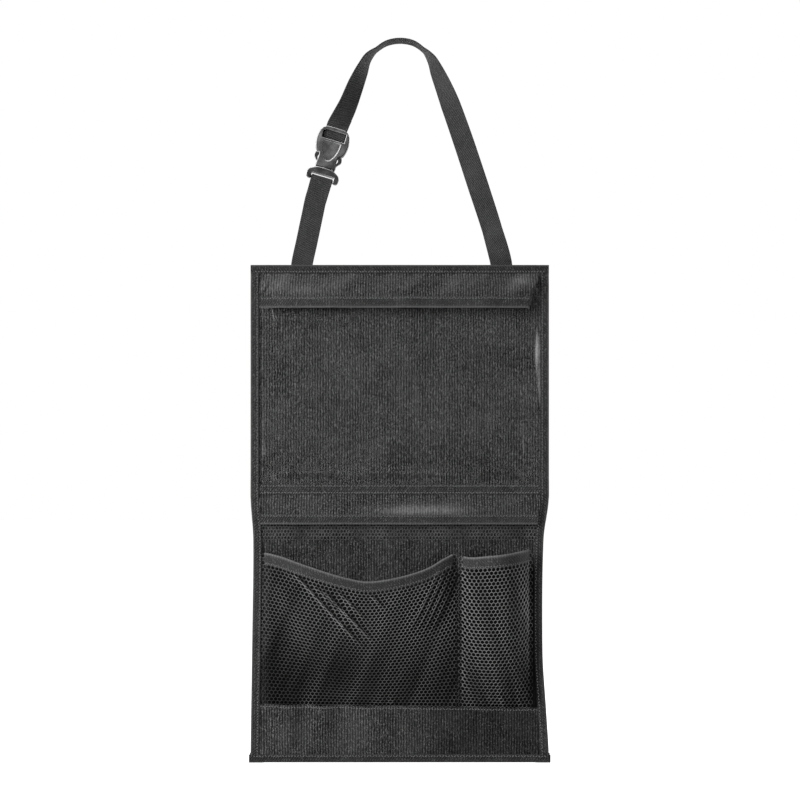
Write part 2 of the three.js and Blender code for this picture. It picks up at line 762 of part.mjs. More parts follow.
function tailPlaces(x) {
  const left = vec(-1, 0, 0);
  return [
    { point: vec(x, tailY, topZ - strapTail), width: left },
    { point: vec(x, tailY, topZ - strapTail * 0.6), width: left },
    { point: vec(x, tailY, topZ - bindingWidth - 7), width: left },
    { point: vec(x, strapY, topZ - bindingWidth + 1), width: left },
    { point: vec(x, strapY, topZ), width: left },
  ];
}

function shortStrap() {
  const toBuckle = (across, up) => vec(lerp(strapLeftX, buckleX, across), strapY, lerp(topZ, buckleZ, up));
  const lower = stationsThrough([
    ...tailPlaces(strapLeftX),
    { point: toBuckle(0.26, 0.286), width: vec(-0.98, 0, 0.2) },
    { point: toBuckle(0.576, 0.632), width: vec(-0.97, 0, 0.23) },
    { point: inBuckle(-20, 0), width: buckleLeft },
    { point: inBuckle(-10, -0.4), width: buckleLeft },
    { point: inBuckle(plugBarAt - 4, plugBarY - plugLoop + 0.1), width: buckleLeft },
    { point: inBuckle(plugBarAt, plugBarY - plugLoop), width: buckleLeft },
  ], 44);
  const turns = spread(0, 180, 8).slice(1).map((degrees) => {
    const angle = THREE.MathUtils.degToRad(degrees);
    const point = inBuckle(plugBarAt + plugLoop * Math.sin(angle), plugBarY - plugLoop * Math.cos(angle));
    return { point, width: buckleLeft };
  });
  const doubledY = webbingThick + gap;
  const end = stationsThrough([
    { point: inBuckle(plugBarAt - 1, plugBarY + plugLoop), width: buckleLeft },
    { point: inBuckle(plugBarAt - 3, plugBarY + plugLoop - 0.2), width: buckleLeft },
    { point: inBuckle(-8, doubledY + 0.2), width: buckleLeft },
    { point: inBuckle(-14, doubledY), width: buckleLeft },
    { point: inBuckle(-20, doubledY), width: buckleLeft },
  ], 10);
  return webbing([...lower, ...turns, ...end]);
}

// Each leg from the arch or the buckle: shares of the way across and up, then the way that its width points
const leftLeg = [
  [0.034, 0.045, -0.9, -0.3, 0.3],
  [0.275, 0.288, -0.72, -0.6, 0.33],
  [0.487, 0.557, -0.57, -0.74, 0.34],
  [0.659, 0.756, -0.39, -0.88, 0.25],
  [0.792, 0.897, -0.18, -0.97, 0.15],
];
const rightLeg = [
  [0.103, 0.046, 0.28, -0.95, 0.1],
  [0.165, 0.095, 0.49, -0.86, 0.15],
  [0.254, 0.169, 0.65, -0.72, 0.24],
  [0.345, 0.253, 0.78, -0.54, 0.31],
  [0.503, 0.415, 0.85, -0.43, 0.3],
  [0.698, 0.629, 0.88, -0.37, 0.3],
  [0.883, 0.838, 0.85, -0.45, 0.26],
];

function longStrap() {
  const barMidY = (ladderBarFromY + ladderBarToY) / 2;
  const turn = ladderBarThick / 2 + gap + webbingThick / 2;
  const behind = webbingThick + gap * 2;
  const tail = stationsThrough([
    { point: inBuckle(buckleLength + adjusterTail, behind, 2.1), width: vec(-0.81, -0.45, 0.315) },
    { point: inBuckle(buckleLength + adjusterTail / 2, behind, 0.8), width: vec(-0.875, -0.345, 0.305) },
    { point: inBuckle(buckleLength + 1.6, behind + 0.1), width: buckleLeft },
    { point: inBuckle(52, behind + 0.9), width: buckleLeft },
    { point: inBuckle(ladderBarAt[0] + 1.4, barMidY + turn), width: buckleLeft },
    { point: inBuckle(ladderBarAt[0], barMidY + turn), width: buckleLeft },
  ], 14);
  const turns = spread(180, 0, 8).slice(1, -1).map((degrees) => {
    const angle = THREE.MathUtils.degToRad(degrees);
    const point = inBuckle(ladderBarAt[0] - turn * Math.sin(angle), barMidY - turn * Math.cos(angle));
    return { point, width: buckleLeft };
  });
  const front = vec(0, -1, -archLean);
  const archEndZ = strapTop - archRise;
  const buckleEnd = inBuckle(buckleLength + 0.6, 0);
  const loop = stationsThrough([
    { point: inBuckle(ladderBarAt[0], barMidY - turn), width: buckleLeft },
    { point: inBuckle(ladderBarAt[1] + 0.3, barMidY - turn), width: buckleLeft },
    { point: inBuckle(53, -0.1), width: buckleLeft },
    { point: inBuckle(56, 0), width: buckleLeft },
    ...leftLeg.map(([x, z, ...turn]) => ({
      point: vec(lerp(buckleEnd.x, -archHalfWidth, x), strapY, lerp(buckleEnd.z, archEndZ, z)),
      width: vec(...turn),
    })),
    { point: vec(-archHalfWidth, strapY, archEndZ), width: front },
    { point: vec(-archHalfWidth * 0.55, strapY, strapTop - archRise * 0.26), width: front },
    { point: vec(0.5, strapY, strapTop), width: front },
    { point: vec(archHalfWidth * 0.58, strapY, strapTop - archRise * 0.26), width: front },
    { point: vec(archHalfWidth, strapY, archEndZ), width: front },
    ...rightLeg.map(([x, z, ...turn]) => ({
      point: vec(lerp(archHalfWidth, strapRightX, x), strapY, lerp(archEndZ, topZ, z)),
      width: vec(...turn),
    })),
    ...tailPlaces(strapRightX).map(({ point }) => ({ point, width: vec(1, 0, 0) })).reverse(),
  ], 84);
  return webbing([...tail, ...turns, ...loop]);
}

// Buckle: the plug's arms spring out in the socket's side windows
const halfThick = buckleThick / 2;
const cavityHalfY = 2.6;
const cavityHalfX = 10.6;
const cavityTo = 36;
const windowFrom = socketMouthAt + 1.4;
const thumbHollow = 1.3;
const windowTo = 28.4;
const frameFrom = 42.6;
const frameTo = 51.4;
const topBarBackY = -1.5;

function socketSolid() {
  const halfW = buckleWidth / 2;
  const right = [
    [9.8, socketMouthAt],
    [10.2, windowFrom + 1],
    [10.6, 22],
    [12.2, windowTo - 0.4],
    [halfW - 2.2, 30],
    [halfW - 1, 33.6],
    [halfW - 0.2, 38],
    [halfW, 42],
    [halfW - 0.6, 46.4],
    [halfW - 1.7, 50.2],
    [halfW - 3.8, buckleLength - 2.2],
    [halfW - 6.8, buckleLength - 0.5],
    [halfW - 10, buckleLength],
  ];
  let body = plate(mirrored(right), -halfThick, halfThick, 1.1);
  const thumbRest = smoothOutline([[0.8, 20.8], [3.4, 22.4], [6.3, 27], [8.3, 33], [9.2, 40.4]], 12);
  body = body.subtract(plate(mirrored(thumbRest), -halfThick - 2, -halfThick + 0.6));
  const hollow = new THREE.SphereGeometry(1, 28, 18);
  hollow.scale(8, 3, 11);
  hollow.translate(0, -halfThick - 3 + thumbHollow, 31.5);
  body = body.subtract(solid(hollow));
  const cavity = rectangle(-cavityHalfX, cavityHalfX, socketMouthAt - 1, cavityTo);
  body = body.subtract(plate(cavity, -cavityHalfY, cavityHalfY));
  for (const side of [-1, 1]) {
    const scoop = smoothOutline([
      [side * 20, windowFrom - 0.5],
      [side * 12.5, windowFrom],
      [side * 10.2, windowFrom + 0.9],
      [side * 9.4, 20.6],
      [side * 9.2, 24],
      [side * 9.8, 27.4],
      [side * 12.5, windowTo],
      [side * 20, windowTo + 0.6],
    ], 18);
    body = body.subtract(plate(new THREE.Shape(scoop.map(([x, z]) => new THREE.Vector2(x, z))), -20, 20));
  }
  body = body.subtract(plate(rectangle(-webSlot / 2, webSlot / 2, frameFrom, frameTo), -20, 20));
  const strapWay = rectangle(-webSlot / 2, webSlot / 2, frameTo - 0.1, buckleLength + 5);
  body = body.subtract(plate(strapWay, topBarBackY, 20));
  const ladderBar = rectangle(-webSlot / 2 - 1, webSlot / 2 + 1, ...ladderBarAt);
  body = body.add(plate(ladderBar, ladderBarFromY, ladderBarToY));
  return geometryOf(body);
}

function plugSolid() {
  const halfW = plugWidth / 2;
  const ears = mirrored([
    [halfW - 2.2, 0.4],
    [halfW - 0.5, 1.5],
    [halfW, 3.8],
    [halfW, 6.4],
    [halfW - 1.1, 8.8],
    [halfW - 3.4, 10.4],
    [halfW - 6, 11.9],
    [halfW - 9.2, 13],
    [halfW - 12.6, 13.4],
  ]);
  let body = plate(ears, -halfThick + 0.2, halfThick - 0.2, 0.9);
  body = body.subtract(plate(rectangle(-webSlot / 2, webSlot / 2, -5, plugLipAt), -20, 20));
  const bar = new THREE.CylinderGeometry(plugBarRadius, plugBarRadius, webSlot + 2, 14);
  bar.rotateZ(Math.PI / 2);
  bar.translate(0, plugBarY, plugBarAt);
  body = body.add(solid(bar));
  for (const side of [-1, 1]) {
    const outer = smoothOutline([
      [10, 12], [10.2, 17.6], [11.5, 19.8], [13.8, 22.4], [14.2, 25], [13.4, 27.9],
    ], 14);
    const inner = smoothOutline([
      [9.9, 28], [9.6, 31.2], [8.2, 33.6], [7.2, 31], [7.6, 28],
      [10.3, 25], [10.4, 22], [8.2, 18.4], [7.2, 15], [7, 12],
    ], 20);
    const arm = [...outer, ...inner].map(([x, z]) => new THREE.Vector2(side * x, z));
    body = body.add(plate(new THREE.Shape(arm), -2.1, 2.1));
  }
  body = body.add(plate(mirrored([[2.4, 12], [2.2, 30], [1.2, 34]]), -1.9, 1.9));
  return geometryOf(body);
}

// The whole organizer
const organizer = new THREE.Group();

function piece(name, geometry, material, group = organizer) {
  const mesh = new THREE.Mesh(geometry, new THREE.MeshStandardMaterial(material));
  mesh.name = name;
  group.add(mesh);
}

piece('back_panel', panelGeometry(), black.cloth);
piece('left_binding', sideBinding(leftEdge, 1, sideSwells(baseHeightLeft)), black.tape);
piece('right_binding', sideBinding(rightEdge, -1, sideSwells(baseHeightRight)), black.tape);
piece('top_binding', endBinding(topZ, -1, clothStack), black.tape);
piece('bottom_binding', endBinding(bottomZ, 1, netStack + tapeThick + gap), black.tape);

piece('window_flap', sheet(flapSurface, flapAcross, flapDown, clothThick), black.cloth);
piece('window_flap_tape', foldedTape(flapSurface, flapAcross, {
  half: clothThick / 2,
  leg: flapTapeWidth,
}), black.tape);
piece('closure_hook_tape', closureTape(hemFrontLift + gap * 2 + closureThick * 1.5), black.tape);
piece('closure_loop_tape', closureTape(hemFrontLift + gap + closureThick / 2), black.tape);

piece('window_film', sheet(windowSurface, filmAcross, filmDown, filmThick), clearFilm);
piece('window_mouth_tape', foldedTape(windowSurface, filmAcross.slice(3, -3), {
  half: filmThick / 2,
  leg: windowHemWidth,
}), black.tape);
piece('window_bottom_tape', windowTape(), black.tape);

piece('lower_flap', sheet(lowerFlapSurface, lowerFlapAcross, lowerFlapDown, clothThick), black.cloth);
piece('lower_flap_tape', foldedTape(lowerFlapSurface, lowerFlapAcross, {
  half: clothThick / 2,
  leg: lowerFlapTapeWidth,
}), black.tape);

const bandAcross = [0, 9, ...spread(22, panelWidth - 22, 8), panelWidth - 9, panelWidth];
const bandHeight = netBandDrop + netBandTuck;
piece('net_band', netting(
  netBandSurface,
  bandAcross,
  [0, 3, bandHeight - 5, bandHeight],
  { fromU: bandAcross[1], toU: panelWidth - bandAcross[1], fromW: 3, toW: bandHeight - 5 },
  2,
  22,
  0.74,
), black.net);

const pocketField = (across, skip, down) => ({
  fromU: across[skip],
  toU: across[across.length - 1 - skip],
  fromW: down[1],
  toW: down[down.length - 3],
});
const pocketTape = { half: netThick / 2, leg: pocketTapeWidth };
piece('wide_pocket_net', netting(
  widePocketSurface,
  wideAcross,
  wideDown,
  pocketField(wideAcross, 3, wideDown),
  7,
  12,
  0.76,
), black.net);
piece('wide_pocket_tape', foldedTape(widePocketSurface, wideAcross.slice(2, -2), pocketTape), black.tape);
piece('narrow_pocket_net', netting(
  narrowPocketSurface,
  narrowAcross,
  narrowDown,
  pocketField(narrowAcross, 4, narrowDown),
  8,
  5,
  0.76,
), black.net);
piece('narrow_pocket_tape', foldedTape(
  narrowPocketSurface,
  narrowAcross.slice(2, -2),
  pocketTape,
), black.tape);
piece('pocket_base', sheet(baseSurface, baseAcross, baseDown, clothThick), black.cloth);

piece('strap_short', shortStrap(), black.webbing);
piece('strap_long', longStrap(), black.webbing);
piece('buckle_plug', plugSolid(), black.plastic, buckleFrame);
piece('buckle_socket', socketSolid(), black.plastic, buckleFrame);
organizer.add(buckleFrame);

export default organizer;
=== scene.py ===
# Car seat back organizer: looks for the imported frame. Surfaces are worked out in millimetres.
import bmesh
import bpy
import math
import numpy as np
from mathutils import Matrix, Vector


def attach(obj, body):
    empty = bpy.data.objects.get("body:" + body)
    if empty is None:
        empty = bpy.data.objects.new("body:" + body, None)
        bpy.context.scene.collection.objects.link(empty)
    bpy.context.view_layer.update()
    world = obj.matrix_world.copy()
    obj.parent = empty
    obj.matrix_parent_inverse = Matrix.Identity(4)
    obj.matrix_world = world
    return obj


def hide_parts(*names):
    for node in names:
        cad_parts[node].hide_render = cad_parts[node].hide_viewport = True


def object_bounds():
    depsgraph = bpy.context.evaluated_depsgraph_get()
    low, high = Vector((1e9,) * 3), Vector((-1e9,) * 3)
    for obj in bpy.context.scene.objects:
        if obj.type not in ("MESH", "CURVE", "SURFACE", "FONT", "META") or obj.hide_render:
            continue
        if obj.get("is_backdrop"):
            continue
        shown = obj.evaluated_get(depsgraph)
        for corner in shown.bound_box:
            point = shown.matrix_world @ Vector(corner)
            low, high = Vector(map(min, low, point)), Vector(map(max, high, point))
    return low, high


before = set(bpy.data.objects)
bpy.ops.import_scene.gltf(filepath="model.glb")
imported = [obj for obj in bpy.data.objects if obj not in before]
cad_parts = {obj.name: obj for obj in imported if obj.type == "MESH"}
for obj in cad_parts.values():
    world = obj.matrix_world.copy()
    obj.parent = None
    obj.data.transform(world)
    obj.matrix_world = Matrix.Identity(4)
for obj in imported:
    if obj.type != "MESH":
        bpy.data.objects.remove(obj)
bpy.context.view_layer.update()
print("frame loaded")

mm = 0.001
layers = {"gap": 0.3, "cloth": 0.6, "tape": 0.7, "film": 0.4, "net": 0.7, "webbing": 1.3, "closure": 0.9}
gap = layers["gap"]
stitchInset = 1.6
fullTurn = 6.283


def ease(low, high, x):
    share = np.clip((x - low) / (high - low), 0, 1)
    return share * share * (3 - 2 * share)


def mix(a, b, share):
    return a + (b - a) * share


def hump(x, middle, wide):
    return np.exp(-((x - middle) / wide) ** 2)


def through(knots):
    # A smooth run through the places and values given
    places = np.array([place for place, _ in knots], float)
    values = np.array([value for _, value in knots], float)
    slopes = np.zeros(len(knots))
    slopes[1:-1] = (values[2:] - values[:-2]) / (places[2:] - places[:-2])

    def run(x):
        x = np.clip(x, places[0], places[-1])
        i = np.clip(np.searchsorted(places, x, side="right") - 1, 0, len(places) - 2)
        span = places[i + 1] - places[i]
        t = (x - places[i]) / span
        lead = (t - 2 * t ** 2 + t ** 3) * slopes[i] * span
        trail = (t ** 3 - t ** 2) * slopes[i + 1] * span
        return mix(values[i], values[i + 1], t * t * (3 - 2 * t)) + lead + trail

    return run


def waver(x, longest, turn=0.0):
    # An uneven wave about 0, from a few sines whose lengths never fall into step
    total = np.sin(x / longest * fullTurn + turn) + 0.6 * np.sin(x / longest * 10.7 + turn * 2.3 + 1)
    return (total + 0.4 * np.sin(x / longest * 17.9 + turn * 3.1 + 2)) / 1.6


def swelling(base, swells):
    # A height that is raised over each stretch given
    def height(place):
        total = np.full_like(np.asarray(place, float), base)
        for start, end, run, lift in swells:
            inside = np.minimum(ease(start - run, start, place), 1 - ease(end, end + run, place))
            total = np.maximum(total, mix(base, lift, inside))
        return total

    return height


def at(x, y, z):
    return np.stack(np.broadcast_arrays(x, y, z), -1).astype(float)


def lifted(surface, u, w, height):
    # Points off a surface, on its side towards the front
    u, w, height = np.broadcast_arrays(u, w, height)
    step = 0.05
    along = surface(u + step, w) - surface(u - step, w)
    down = surface(u, w + step) - surface(u, w - step)
    normal = np.cross(along, down)
    normal /= np.linalg.norm(normal, axis=-1, keepdims=True)
    normal = np.where(normal[..., 1:2] > 0, -normal, normal)
    return surface(u, w) + normal * height[..., None]


def lengthAlong(points):
    steps = np.linalg.norm(np.diff(points, axis=0), axis=-1)
    return np.concatenate([[0], np.cumsum(steps)])


# Mesh making
def placed(name, data):
    made = bpy.data.objects.new(name, data)
    bpy.context.scene.collection.objects.link(made)
    return made


def writeFlat(mesh, uvs):
    layer = mesh.uv_layers.new(name="flat")
    corner = np.zeros(len(mesh.loops), np.int32)
    mesh.loops.foreach_get("vertex_index", corner)
    layer.data.foreach_set("uv", (uvs[corner] * mm).astype(np.float32).ravel())


def writeShare(mesh, name, values):
    layer = mesh.attributes.new(name, "FLOAT", "POINT")
    layer.data.foreach_set("value", values.astype(np.float32).ravel())


def paint(made, name, share):
    # A value for each point, from where the point is
    place = np.zeros(len(made.data.vertices) * 3)
    made.data.vertices.foreach_get("co", place)
    x, y, z = place.reshape(-1, 3).T / mm
    writeShare(made.data, name, np.clip(share(x, y, z), 0, 1))


def meshObject(name, points, faces, uvs, material, paintedHighlight=None):
    mesh = bpy.data.meshes.new(name)
    mesh.from_pydata((points * mm).tolist(), [], faces)
    mesh.update()
    writeFlat(mesh, uvs)
    if paintedHighlight is not None:
        writeShare(mesh, "paintedHighlight", paintedHighlight)
    mesh.shade_smooth()
    mesh.set_sharp_from_angle(angle=math.radians(50))
    mesh.materials.append(material)
    return placed(name, mesh)


def outward(points, faces):
    # The faces are turned round if the volume that they close comes out below 0
    triangles = np.array([(f[0], f[k], f[k + 1]) for f in faces for k in range(1, len(f) - 1)])
    a, b, c = points[triangles].transpose(1, 0, 2)
    volume = np.einsum("ij,ij->", a, np.cross(b, c))
    return faces if volume > 0 else [f[::-1] for f in faces]


def shellObject(name, front, back, uv, material):
    rows, columns = front.shape[:2]
    points = np.concatenate([front.reshape(-1, 3), back.reshape(-1, 3)])
    place = np.arange(rows * columns).reshape(rows, columns)
    a, b, c, d = place[:-1, :-1], place[:-1, 1:], place[1:, 1:], place[1:, :-1]
    ahead = np.stack([a, b, c, d], -1).reshape(-1, 4)
    behind = ahead[:, ::-1] + rows * columns
    loop = np.concatenate([place[0, :-1], place[:-1, -1], place[-1, :0:-1], place[:0:-1, 0]])
    after = np.roll(loop, -1)
    rim = np.stack([after, loop, loop + rows * columns, after + rows * columns], -1)
    faces = outward(points, np.concatenate([ahead, behind, rim]).tolist())
    uvs = np.concatenate([uv.reshape(-1, 2), uv.reshape(-1, 2)])
    return meshObject(name, points, faces, uvs, material)


def sheetObject(name, surface, us, ws, thick, material):
    u, w = np.meshgrid(us, ws, indexing="ij")
    front = lifted(surface, u, w, thick / 2)
    back = lifted(surface, u, w, -thick / 2)
    return shellObject(name, front, back, np.stack([u, w], -1), material)


def sweptObject(name, rings, uv, material, paintedHighlight=None):
    count, around = rings.shape[:2]
    points = rings.reshape(-1, 3)
    place = np.arange(count * around).reshape(count, around)
    after = np.roll(place, -1, axis=1)
    quads = np.stack([place[:-1], after[:-1], after[1:], place[1:]], -1).reshape(-1, 4).tolist()
    faces = quads + [place[0, ::-1].tolist(), place[-1].tolist()]
    return meshObject(name, points, outward(points, faces), uv.reshape(-1, 2), material, paintedHighlight)


def foldedBand(name, surface, places, half, leg, material, frontLift=None, backLift=None, pucker=0.12):
    # A tape folded over the edge of a sheet, with a soft fold, a groove where it is sewn, and a painted
    # highlight over the fold and along its free edge
    thick = layers["tape"]
    front = half + (frontLift(places) if frontLift else np.full_like(places, gap))
    back = half + (backLift(places) if backLift else np.full_like(places, gap))
    legPlaces = np.array([1, 0.96, 0.9, 0.84, 0.78, 0.68, 0.56, 0.44, 0.32, 0.2, 0.1, 0.03]) * leg
    turns = np.linspace(0, math.pi, 9)
    outW, outH, inW, inH, paintedHighlight = [], [], [], [], []
    middle = (front - back) / 2
    radius = (front + back) / 2
    for side, height in ((1, front), (-1, back)):
        ws = legPlaces if side > 0 else legPlaces[::-1]
        reach = abs(height) + thick
        for w in ws:
            groove = 0.3 * hump(w, leg - stitchInset, 0.6)
            wave = pucker * waver(places, 11, w / leg + side) * hump(w, leg, 3.5)
            tip = 0.22 if w == legPlaces[0] else 0.0
            outW.append(np.full_like(places, w))
            outH.append(side * (reach - groove + wave - tip))
            inW.append(np.full_like(places, w))
            inH.append(side * (height + np.maximum(wave, 0) * 0.6))
            # Painted highlight along the free edge and near the fold
            paintedHighlight.append(0.55 * hump(w, leg, 0.5) + 0.6 * hump(w, 0, 1.1))
        if side > 0:
            for turn in turns:
                across = math.cos(turn)
                bulge = math.sin(turn)
                outW.append(np.full_like(places, -(gap + thick) * bulge))
                outH.append(middle + (radius + thick) * across)
                inW.append(np.full_like(places, -gap * bulge))
                inH.append(middle + radius * across)
                paintedHighlight.append(1.0)
    w = np.stack(outW + inW[::-1], 1)
    h = np.stack(outH + inH[::-1], 1)
    u = np.repeat(places[:, None], w.shape[1], 1)
    rings = lifted(surface, u, w, h)
    length = lengthAlong(np.stack([w, h], -1)[0])
    uv = np.stack([u, np.repeat(length[None], len(places), 0)], -1)
    highlightLevel = np.repeat(np.array(paintedHighlight + paintedHighlight[::-1])[None], len(places), 0)
    return sweptObject(name, rings, uv, material, paintedHighlight=highlightLevel)


def keep(piece, nodes):
    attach(piece, "root")
    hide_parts(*nodes)
    return piece


# Node building, for shader and geometry trees alike
def put(tree, kind, inputs=None, **settings):
    made = tree.nodes.new(kind)
    for key, value in settings.items():
        setattr(made, key, value)
    for key, value in (inputs or {}).items():
        if isinstance(value, bpy.types.NodeSocket):
            tree.links.new(value, made.inputs[key])
        else:
            made.inputs[key].default_value = value
    return made


def out(tree, kind, inputs=None, **settings):
    return put(tree, kind, inputs, **settings).outputs[0]


def calc(tree, operation, a, b=0.0, c=None):
    inputs = {0: a, 1: b}
    if c is not None:
        inputs[2] = c
    return out(tree, "ShaderNodeMath", inputs, operation=operation)


def noise(tree, place, scale, detail):
    return out(tree, "ShaderNodeTexNoise", {"Vector": place, "Scale": scale, "Detail": detail})


def ramp(tree, value, low, high):
    return out(tree, "ShaderNodeMapRange", {0: value, 1: low, 2: high})


def ripple(tree, value):
    return calc(tree, "SINE", calc(tree, "MULTIPLY", value, fullTurn))


def newSocket(tree, label, kind, way="INPUT"):
    return tree.interface.new_socket(label, in_out=way, socket_type="NodeSocket" + kind)


def shaderGroup(name, floats, outputs):
    tree = bpy.data.node_groups.new(name, "ShaderNodeTree")
    newSocket(tree, "Vector", "Vector")
    for label, value in floats.items():
        newSocket(tree, label, "Float").default_value = value
    for label in outputs:
        newSocket(tree, label, "Float", "OUTPUT")
    return tree, put(tree, "NodeGroupInput").outputs


def groupNode(tree, group, inputs):
    return put(tree, "ShaderNodeGroup", inputs, node_tree=group).outputs


def makeRibs():
    # Fine ribs along the second axis, broken up as spun yarn is
    tree, given = shaderGroup("yarnRibs", {"Rib Pitch": 0.0027, "Unevenness": 0.5}, ["Height", "Specks"])
    parts = put(tree, "ShaderNodeSeparateXYZ", {0: given["Vector"]}).outputs
    wander = noise(tree, given["Vector"], 200.0, 2.0)
    across = calc(tree, "DIVIDE", parts[0], given["Rib Pitch"])
    shifted = calc(tree, "MULTIPLY_ADD", wander, given["Unevenness"], across)
    rib = ripple(tree, shifted)
    noises = []
    for stretch in ((700.0, 700.0, 300.0), (1150.0, 1150.0, 620.0)):
        longer = out(tree, "ShaderNodeVectorMath", {0: given["Vector"], 1: stretch}, operation="MULTIPLY")
        noises.append(noise(tree, longer, 1.0, 2.0))
    height = calc(tree, "MULTIPLY_ADD", rib, 0.17, noises[0])
    lit = calc(tree, "MULTIPLY_ADD", rib, 0.05, noises[1])
    specks = ramp(tree, lit, 0.56, 0.68)
    put(tree, "NodeGroupOutput", {"Height": height, "Specks": specks})
    return tree


def makeTwill():
    # Slanting wales over the yarns that cross them
    tree, given = shaderGroup("twillWeave", {"Wale Pitch": 0.0016, "Yarn Pitch": 0.0008}, ["Height"])
    parts = put(tree, "ShaderNodeSeparateXYZ", {0: given["Vector"]}).outputs
    slant = calc(tree, "MULTIPLY_ADD", parts[1], 0.75, parts[0])
    wale = ripple(tree, calc(tree, "DIVIDE", slant, given["Wale Pitch"]))
    yarn = ripple(tree, calc(tree, "DIVIDE", parts[1], given["Yarn Pitch"]))
    grain = noise(tree, given["Vector"], 900.0, 3.0)
    both = calc(tree, "MULTIPLY_ADD", yarn, 0.3, wale)
    put(tree, "NodeGroupOutput", {"Height": calc(tree, "ADD", both, grain)})
    return tree


def makeWear():
    # Dust and rubbed places over a large area
    tree, given = shaderGroup("dustAndRub", {"Patch Size": 0.03}, ["Mask"])
    scale = calc(tree, "DIVIDE", 1.0, given["Patch Size"])
    broad = noise(tree, given["Vector"], scale, 5.0)
    put(tree, "NodeGroupOutput", {"Mask": ramp(tree, broad, 0.35, 0.7)})
    return tree


yarnRibs = makeRibs()
twillWeave = makeTwill()
dustAndRub = makeWear()


def grey(level):
    linear = (level / 255) ** 2.2
    return (linear, linear, linear, 1.0)


def newMaterial(name, **sockets):
    material = bpy.data.materials.new(name)
    material.use_nodes = True
    tree = material.node_tree
    shader = tree.nodes["Principled BSDF"]
    for label, value in sockets.items():
        shader.inputs[label.replace("_", " ")].default_value = value
    return material, tree, shader


def blended(tree, share, dark, light):
    return put(tree, "ShaderNodeMix", {0: share, 6: dark, 7: light}, data_type="RGBA").outputs[2]


def bumped(tree, shader, height, depth):
    bump = put(tree, "ShaderNodeBump", {"Height": height, "Distance": depth, "Strength": 1.0})
    tree.links.new(bump.outputs[0], shader.inputs["Normal"])


def vertexShare(tree, name):
    return put(tree, "ShaderNodeAttribute", attribute_name=name).outputs["Fac"]


def objectPlace(tree):
    return put(tree, "ShaderNodeTexCoord").outputs["Object"]


def coloured(tree, shader, colour, share, deep):
    # Painted shade: the colour goes down towards the grey deep by the share of painted shade that each point
    # carries
    paintedShade = calc(tree, "MULTIPLY", vertexShare(tree, "paintedShade"), share)
    tree.links.new(blended(tree, paintedShade, colour, grey(deep)), shader.inputs["Base Color"])


def ribbedCloth(name, dark, light, speck):
    material, tree, shader = newMaterial(
        name, Roughness=0.8, Sheen_Weight=0.3, Sheen_Roughness=0.4, Specular_IOR_Level=0.04)
    place = objectPlace(tree)
    ribs = groupNode(tree, yarnRibs, {"Vector": place})
    dust = groupNode(tree, dustAndRub, {"Vector": place, "Patch Size": 0.034})
    tone = ramp(tree, ribs["Height"], 0.3, 0.72)
    share = calc(tree, "MULTIPLY_ADD", dust["Mask"], 0.34, calc(tree, "MULTIPLY", tone, 0.74))
    weave = blended(tree, share, grey(dark), grey(light))
    flecked = blended(tree, calc(tree, "MULTIPLY", ribs["Specks"], 0.75), weave, grey(speck))
    # Painted highlight: where the points carry it, the raised ribs go towards a lighter grey
    raised = calc(tree, "MULTIPLY_ADD", ribs["Height"], 1.1, 0.1)
    highlightShare = calc(tree, "MULTIPLY", vertexShare(tree, "paintedHighlight"), raised)
    clothHighlit = blended(tree, highlightShare, flecked, grey(speck + 22))
    coloured(tree, shader, clothHighlit, 0.94, 8)
    bumped(tree, shader, ribs["Height"], 0.0004)
    return material


def wovenTape(name, dark, light, wale, yarn, depth=0.00018, highlightLevel=112, flecks=0.7):
    material, tree, shader = newMaterial(
        name, Roughness=0.7, Sheen_Weight=0.2, Sheen_Roughness=0.4, Specular_IOR_Level=0.08)
    flat = out(tree, "ShaderNodeUVMap", uv_map="flat")
    place = objectPlace(tree)
    weave = groupNode(tree, twillWeave, {"Vector": flat, "Wale Pitch": wale, "Yarn Pitch": yarn})
    dust = groupNode(tree, dustAndRub, {"Vector": place, "Patch Size": 0.02})
    grains = groupNode(tree, yarnRibs, {"Vector": place})
    tone = ramp(tree, weave["Height"], -0.8, 1.8)
    share = calc(tree, "MULTIPLY_ADD", dust["Mask"], 0.25, calc(tree, "MULTIPLY", tone, 0.75))
    woven = blended(tree, share, grey(dark), grey(light))
    flecked = blended(tree, calc(tree, "MULTIPLY", grains["Specks"], flecks), woven, grey(light + 40))
    # Painted highlight: where the points carry it, the raised yarns go towards the tape's highlight grey
    raised = calc(tree, "MULTIPLY_ADD", grains["Height"], 0.9, 0.25)
    highlightShare = calc(tree, "MULTIPLY", vertexShare(tree, "paintedHighlight"), raised)
    tapeHighlit = blended(tree, highlightShare, flecked, grey(highlightLevel))
    coloured(tree, shader, tapeHighlit, 0.9, 10)
    bumped(tree, shader, weave["Height"], depth)
    return material


def threadMaterial(name, dark, light):
    material, tree, shader = newMaterial(name, Roughness=0.6, Sheen_Weight=0.15, Specular_IOR_Level=0.08)
    place = objectPlace(tree)
    fibre = noise(tree, place, 1800.0, 3.0)
    yarn = blended(tree, fibre, grey(dark), grey(light))
    coloured(tree, shader, yarn, 0.85, 20)
    bumped(tree, shader, fibre, 0.0001)
    return material


